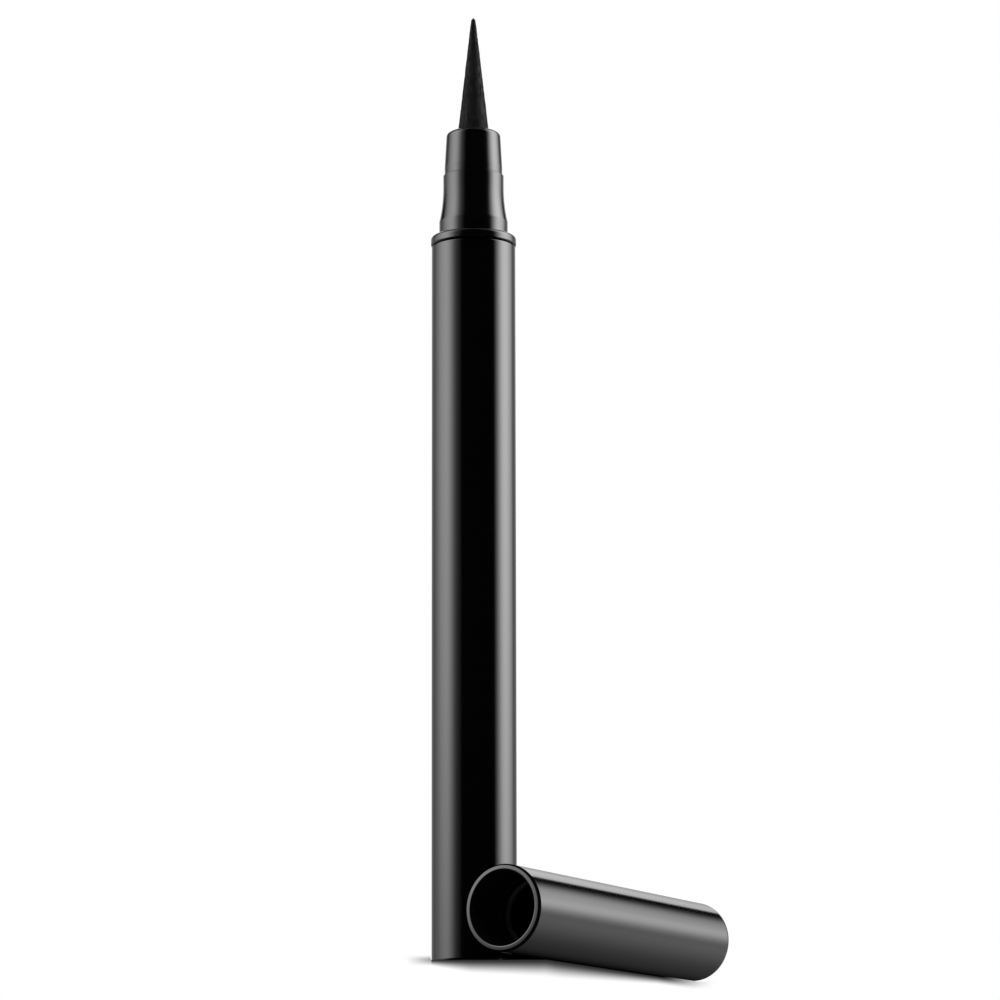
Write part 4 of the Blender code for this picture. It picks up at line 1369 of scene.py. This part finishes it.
class MakeInkParts(bpy.types.Operator):
    """Make the ink bottle, its soft ring, the stirring ball and the wick"""
    bl_idname = "eyeliner.make_ink_parts"
    bl_label = "Ink Bottle, Ring, Ball and Wick"

    def execute(self, context):
        settings = context.scene.eyeliner_ink
        barrel = context.scene.eyeliner_barrel
        bottle = turned("ink_bottle", outline(bottle_corners(settings, barrel)), INNER_SIDES,
                        clear_plastic(settings))
        dress(bottle, "pen", "tank_clear", "ink_tank")
        outer = barrel.radius - barrel.wall - PRESS_GAP
        corners = ring_corners(outer - settings.ring_width, outer, ring_low.z, ring_high.z,
                               settings.ring_round)
        ring = turned("bottle_ring", outline(corners, True), INNER_SIDES,
                      rubber(context.scene.eyeliner_cup))
        dress(ring, "pen", "seal_grey", "tank_seal")
        ball = turned("stirring_ball", ball_points(), SMALL_SIDES,
                      steel("ball_steel", tuple(settings.ball_colour), 0.0002))
        dress(ball, "mixing_ball", "steel", "mixing_ball")
        tone = tuple(settings.wick_colour)
        # The wick's darker tone is painted shade between its fibres
        cotton = fibres("wick_fibre", scaled(tone, 0.55), tone, width=0.0001, stretch=16.0,
                        roughness=0.85, sheen=0.1)
        points = divided(outline(wick_corners(settings.wick_chamfer)), WICK_FACET)
        wick = turned("fibre_wick", points, SMALL_SIDES, cotton)
        run_tree(wick, "felt_surface", felt_tree, cotton, depth=0.00004, width=0.00016,
                 stretch=12.0, start=0.0)
        tidy_normals(wick)
        dress(wick, "pen", "wick_white", "relay_wick")
        return {"FINISHED"}


def feed_corners(settings, head_radius, neck_radius, bore, stages):
    """Outline of the feed without its fins: neck, head, core, collar, core and nose."""
    head_top, head_bottom, collar_top, collar_bottom, nose_top = stages
    return [
        (bore, feed_high.z, FINE_SEAM / 2),
        (neck_radius, feed_high.z, FINE_SEAM),
        (neck_radius, head_top, FINE_SEAM),
        (head_radius, head_top, FINE_SEAM),
        (head_radius, head_bottom, FINE_SEAM),
        (settings.core_radius, head_bottom, FINE_SEAM),
        (settings.core_radius, collar_top, FINE_SEAM),
        (settings.collar_radius, collar_top, FINE_SEAM),
        (settings.collar_radius, collar_bottom, FINE_SEAM),
        (settings.core_radius, collar_bottom, FINE_SEAM),
        (settings.core_radius, nose_top, FINE_SEAM),
        (settings.nose_radius, feed_low.z, FINE_SEAM),
        (bore, feed_low.z, FINE_SEAM / 2),
    ]


def fin_stack(name, settings, radius, bottom, top, finish):
    """A stack of thin fins between two heights, each seated on the core."""
    number = max(1, int((top - bottom) / settings.fin_pitch))
    pitch = (top - bottom) / number
    low = bottom + (pitch - settings.fin_thickness) / 2
    high = low + settings.fin_thickness
    inner = settings.core_radius - FINE_SEAM
    edge = settings.fin_thickness / 5
    corners = [(inner, low), (radius, low, edge), (radius, high, edge), (inner, high)]
    fin = turned(name, outline(corners, True), SMALL_SIDES, finish)
    run_tree(fin, "stack_of_forms", stack_tree, finish, count=number, pitch=pitch)
    return fin


class MakeFeed(bpy.types.Operator):
    """Make the finned feed, cut by its ink slit and its air notch"""
    bl_idname = "eyeliner.make_feed"
    bl_label = "Finned Feed"

    def execute(self, context):
        settings = context.scene.eyeliner_feed
        barrel = context.scene.eyeliner_barrel
        section = context.scene.eyeliner_section
        finish = feed_plastic(settings)
        spigot_bore = barrel.radius - barrel.wall - PRESS_GAP - section.spigot_wall
        upper_fin = spigot_bore - settings.fin_gap
        lower_fin = tank_high.x - context.scene.eyeliner_ink.wall - settings.fin_gap
        neck = section.neck_radius - section.neck_wall - settings.fin_gap
        bore = wick_high.x + settings.wick_gap
        head_top = section_heights(section)[0] + section.shoulder - SEAT_GAP
        head_bottom = head_top - settings.head
        collar_top = ring_high.z + settings.collar_reach
        collar_bottom = ring_low.z - settings.collar_reach
        nose_top = feed_low.z + settings.nose_length
        stages = (head_top, head_bottom, collar_top, collar_bottom, nose_top)
        corners = feed_corners(settings, upper_fin, neck, bore, stages)
        feed = turned("fin_feed", outline(corners, True), SMALL_SIDES, finish)
        for name, radius, bottom, top in (("upper_fins", upper_fin, collar_top, head_bottom),
                                          ("lower_fins", lower_fin, nose_top, collar_bottom)):
            combine(feed, fin_stack(name, settings, radius, bottom, top, finish), "UNION")
        cut_start = nose_top - CUT_OVERRUN
        half = settings.slit_width / 2
        slit = block("slit_cutter", (0.0, -half, cut_start),
                     (upper_fin + CUT_OVERRUN, half, head_bottom))
        combine(feed, slit, "DIFFERENCE")
        half = settings.notch_width / 2
        notch = block("notch_cutter", (-upper_fin - CUT_OVERRUN, -half, cut_start),
                      (settings.notch_depth - lower_fin, half, head_top + CUT_OVERRUN))
        combine(feed, notch, "DIFFERENCE")
        dress(feed, "pen", "feed_white", "collector")
        return {"FINISHED"}


def view_axes(settings):
    """The level direction away from the camera and the one to its right."""
    away = Vector((-math.sin(settings.azimuth), math.cos(settings.azimuth), 0.0))
    right = Vector((math.cos(settings.azimuth), math.sin(settings.azimuth), 0.0))
    return away, right


def make_camera(settings):
    """Camera at the photograph's angle, a little below the floor's level and looking up."""
    away, right = view_axes(settings)
    camera = bpy.data.objects.new("photo_camera", bpy.data.cameras.new("photo_camera"))
    bpy.context.scene.collection.objects.link(camera)
    camera.location = -away * settings.distance + right * settings.side
    camera.location.z = -settings.drop
    aim = away * math.cos(settings.pitch) + Vector((0.0, 0.0, math.sin(settings.pitch)))
    lean = Quaternion((0.0, 0.0, 1.0), settings.roll)
    camera.rotation_euler = (aim.to_track_quat("-Z", "Y") @ lean).to_euler()
    camera.data.lens = settings.lens
    camera.data.clip_start, camera.data.clip_end = CAMERA_CLIP
    bpy.context.scene.camera = camera


def direction_parts(tree, settings):
    """How far a point lies to the right of, away from and above the camera's level line."""
    away, right = view_axes(settings)
    place = output(tree, "ShaderNodeTexCoord", which="Object")
    level = [output(tree, "ShaderNodeVectorMath", {0: place, 1: axis}, "Value",
                    operation="DOT_PRODUCT") for axis in (right, away)]
    return *level, parts_of(tree, place)[2]


def window(tree, value, rise, fall):
    """A value that rises and falls again softly, each over a pair of angles in degrees."""
    up = ramp(tree, value, *map(math.radians, rise))
    return up * ramp(tree, value, *map(math.radians, fall), 1.0, 0.0)


def panel_brightness(tree, settings):
    """Brightness of the studio's panels by the direction that they lie in."""
    right, away, height = direction_parts(tree, settings)
    climb = calculate(tree, "ARCTAN2", height, long_side(tree, right, away))
    turn = calculate(tree, "ARCTAN2", right, -away)
    turns = {"right": turn, "left": -turn, "both": abs(turn)}
    total = 0.0
    for panel in PANELS:
        across = window(tree, turns[panel.side], panel.rise, panel.fall)
        upright = window(tree, climb, panel.low, panel.high)
        total = calculate(tree, "MULTIPLY_ADD", across * upright, panel.brightness, total)
    return total * settings.panels


def empty_tree(owner):
    """The node tree of a new material or world, with no nodes in it."""
    owner.use_nodes = True
    owner.node_tree.nodes.clear()
    return owner.node_tree


def stage_tree(piece):
    """The empty node tree of a new material on a piece of the stage."""
    material = bpy.data.materials.new(piece.name)
    material.cycles.emission_sampling = "NONE"
    piece.data.materials.append(material)
    return empty_tree(material)


def hide_from(piece, *rays):
    """Hide a piece of the stage from some kinds of ray."""
    for ray in rays:
        setattr(piece, "visible_" + ray, False)


def make_panels(settings):
    """Dark studio with soft-edged light panels, seen only in the object's reflections."""
    shape = bmesh.new()
    bmesh.ops.create_uvsphere(shape, u_segments=48, v_segments=24, radius=STUDIO_RADIUS)
    bmesh.ops.reverse_faces(shape, faces=shape.faces)
    panels = piece_from("studio_panels", shape)
    tree = stage_tree(panels)
    glow = add_node(tree, "ShaderNodeEmission", {"Strength": panel_brightness(tree, settings)})
    add_node(tree, "ShaderNodeOutputMaterial", {"Surface": glow})
    hide_from(panels, "camera", "diffuse", "transmission", "volume_scatter", "shadow")


def contact_shade(tree, settings):
    """Light in the painted shade behind the foot and lying cap, and how much of that floor shows.
    """
    right, away = direction_parts(tree, settings)[:2]
    away_axis, right_axis = view_axes(settings)
    radius = bpy.context.scene.eyeliner_barrel.radius
    mouth = Vector((cap_mouth.x, cap_mouth.y, 0.0))
    end = mouth + cap_axis * bpy.context.scene.eyeliner_cap.length
    mouth_right = mouth.dot(right_axis)
    end_right = end.dot(right_axis)

    def across(span, unit, low=0.0, high=1.0, kind="LINEAR"):
        """A value that goes from low to high over a span to the right, counted in a unit."""
        return ramp(tree, right, span[0] * unit, span[1] * unit, low, high, kind)

    line = ramp(tree, right, mouth_right, end_right, mouth.dot(away_axis), end.dot(away_axis),
                "LINEAR")
    behind = away - calculate(tree, "MAXIMUM", line + settings.shade_step, -radius)
    further = settings.shade_middle - settings.shade_reach
    left_reach = (across(REACH_RISE, radius, settings.shade_tail, settings.shade_reach)
                  + across(REACH_GROWTH, radius, 0.0, further))
    right_reach = across(REACH_FALL, end_right, settings.shade_middle, settings.shade_end)
    reach = calculate(tree, "MINIMUM", left_reach, right_reach)
    fade = ramp(tree, behind / reach, 0.0, 1.0) ** FADE_POWER
    lift = ramp(tree, behind, 0.0, settings.shade_step / 2, 0.0, settings.shade_light)
    fade = calculate(tree, "ADD", fade, lift, clamp=True)
    start = calculate(tree, "MAXIMUM", across(FOOT_EDGE, radius, kind="SMOOTHSTEP"),
                      across(TAIL_RISE, radius))
    dark = (1.0 - fade) * (start * across(END_FALL, end_right, 1.0, 0.0, "SMOOTHSTEP"))
    front = ramp(tree, away, -radius * FRONT_REACH, -radius)
    before_foot = (right < -radius) * front
    at_cap = (right > mouth_right) * (away > line)
    beside_cap = (away > -radius) * (right < mouth_right)
    seen = calculate(tree, "MAXIMUM", calculate(tree, "MAXIMUM", before_foot, at_cap), beside_cap)
    return 1.0 - dark, seen * ramp(tree, dark, 0.0, LEAST_SHADE)


def make_shade(settings):
    """The painted contact shade, seen only from below and where something lies over it."""
    away, right = view_axes(settings)
    left_side, right_side = PATCH_SIDES
    front, back = PATCH_DEPTHS
    drop = Vector((0.0, 0.0, -PATCH_DROP))
    corners = [right * side + away * depth + drop for side, depth in (
        (left_side, front), (right_side, front), (right_side, back), (left_side, back))]
    patch = link_piece("contact_shade", mesh_from("contact_shade", corners, [range(4)]))
    tree = stage_tree(patch)
    light, seen = contact_shade(tree, settings)
    open_share = output(tree, "ShaderNodeAmbientOcclusion", {"Distance": settings.shade_cover},
                        "AO", samples=COVER_SAMPLES, inside=True)
    covered = ramp(tree, open_share, 1.0 - settings.cover_share, 1.0, 1.0, 0.0, "LINEAR")
    below = output(tree, "ShaderNodeNewGeometry", which="Backfacing")
    clear = add_node(tree, "ShaderNodeBsdfTransparent")
    # The shade is painted: an emission whose colour is the light left in the shade
    tone = add_node(tree, "ShaderNodeCombineColor", {0: light, 1: light, 2: light})
    shade = add_node(tree, "ShaderNodeEmission", {"Color": tone})
    both = add_node(tree, "ShaderNodeMixShader", {0: seen * covered * below, 1: clear, 2: shade})
    add_node(tree, "ShaderNodeOutputMaterial", {"Surface": both})
    hide_from(patch, "diffuse", "glossy", "shadow")


def make_floor(settings):
    """Pale floor that keeps the shadows and is clear at its edge. Seen from below it is clear."""
    shape = bmesh.new()
    bmesh.ops.create_circle(shape, cap_ends=True, radius=FLOOR_RADIUS, segments=96)
    bmesh.ops.translate(shape, verts=shape.verts, vec=(0.0, 0.0, -FLOOR_DROP))
    floor = piece_from("studio_floor", shape)
    tree = stage_tree(floor)
    clear = add_node(tree, "ShaderNodeBsdfTransparent")
    pale = add_node(tree, "ShaderNodeBsdfDiffuse", {"Color": (*settings.floor_colour, 1.0)})
    place = output(tree, "ShaderNodeTexCoord", which="Object")
    far = output(tree, "ShaderNodeVectorMath", {0: place}, "Value", operation="LENGTH")
    edge = ramp(tree, far, *FLOOR_FADE)
    above = add_node(tree, "ShaderNodeMixShader", {0: edge, 1: pale, 2: clear})
    below = output(tree, "ShaderNodeNewGeometry", which="Backfacing")
    both = add_node(tree, "ShaderNodeMixShader", {0: below, 1: above, 2: clear})
    add_node(tree, "ShaderNodeOutputMaterial", {"Surface": both})
    hide_from(floor, "glossy")


def make_lamp(settings):
    """One large soft lamp above and in front of the object."""
    away, right = view_axes(settings)
    data = bpy.data.lights.new("soft_lamp", "AREA")
    data.shape = "DISK"
    data.size = LAMP_SIZE
    data.energy = settings.lamp_power
    lamp = bpy.data.objects.new("soft_lamp", data)
    bpy.context.scene.collection.objects.link(lamp)
    lamp.location = -away * LAMP_FRONT - right * LAMP_LEFT + Vector((0.0, 0.0, LAMP_HEIGHT))
    lamp.rotation_euler = (-lamp.location).to_track_quat("-Z", "Y").to_euler()
    hide_from(lamp, "glossy")


def make_world(settings):
    """White surroundings, as the camera and clear pieces see them; other rays get the ambient
    share.
    """
    world = bpy.data.worlds.new("white_room")
    bpy.context.scene.world = world
    tree = empty_tree(world)
    path = add_node(tree, "ShaderNodeLightPath").outputs
    direct = calculate(tree, "MAXIMUM", path["Is Camera Ray"], path["Is Transmission Ray"])
    strength = ramp(tree, direct, 0.0, 1.0, settings.ambient, 1.0, "LINEAR")
    light = add_node(tree, "ShaderNodeBackground",
                     {"Color": (1.0, 1.0, 1.0, 1.0), "Strength": strength})
    add_node(tree, "ShaderNodeOutputWorld", {"Surface": light})
    world.cycles.sampling_method = "NONE"


class MakeStage(bpy.types.Operator):
    """Set up the camera, lamp, reflecting panels, floor and white surroundings"""
    bl_idname = "eyeliner.make_stage"
    bl_label = "Stage"

    def execute(self, context):
        settings = context.scene.eyeliner_stage
        make_camera(settings)
        make_world(settings)
        make_lamp(settings)
        make_panels(settings)
        make_floor(settings)
        make_shade(settings)
        context.scene.view_settings.view_transform = "Standard"
        return {"FINISHED"}


SETTINGS = {
    "eyeliner_barrel": BarrelSettings,
    "eyeliner_section": SectionSettings,
    "eyeliner_nozzle": NozzleSettings,
    "eyeliner_nib": NibSettings,
    "eyeliner_cap": CapSettings,
    "eyeliner_cup": CupSettings,
    "eyeliner_spring": SpringSettings,
    "eyeliner_ink": InkSettings,
    "eyeliner_feed": FeedSettings,
    "eyeliner_stage": StageSettings,
}
OPERATORS = (MakeStage, MakeBarrel, MakeSection, MakeNozzle, MakeNib, MakeCap, MakeCup, MakeSpring,
             MakeInkParts, MakeFeed)


class EyelinerPanel(bpy.types.Panel):
    """Lists the pieces of the pen and their settings"""
    bl_idname = "VIEW3D_PT_eyeliner"
    bl_label = "Felt-Tip Eyeliner Pen"
    bl_space_type = "VIEW_3D"
    bl_region_type = "UI"
    bl_category = "Eyeliner"

    def draw(self, context):
        layout = self.layout
        for operator in OPERATORS:
            layout.operator(operator.bl_idname, text=operator.bl_label)
        for name, group in SETTINGS.items():
            box = layout.box()
            box.label(text=group.__doc__)
            for key in group.__annotations__:
                box.prop(getattr(context.scene, name), key)


def register():
    """Register the settings, the operators and the panel."""
    for name, group in SETTINGS.items():
        bpy.utils.register_class(group)
        setattr(bpy.types.Scene, name, PointerProperty(type=group))
    for item in (*OPERATORS, EyelinerPanel):
        bpy.utils.register_class(item)


def unregister():
    """Take away what register added."""
    for item in (EyelinerPanel, *reversed(OPERATORS)):
        bpy.utils.unregister_class(item)
    for name, group in reversed(SETTINGS.items()):
        delattr(bpy.types.Scene, name)
        bpy.utils.unregister_class(group)


def main():
    """Make every piece and the stage, in order."""
    register()
    bpy.ops.eyeliner.make_stage()
    bpy.ops.eyeliner.make_barrel()
    bpy.ops.eyeliner.make_section()
    bpy.ops.eyeliner.make_nozzle()
    bpy.ops.eyeliner.make_nib()
    bpy.ops.eyeliner.make_cap()
    bpy.ops.eyeliner.make_cup()
    bpy.ops.eyeliner.make_spring()
    bpy.ops.eyeliner.make_ink_parts()
    bpy.ops.eyeliner.make_feed()


if __name__ == "__main__":
    main()
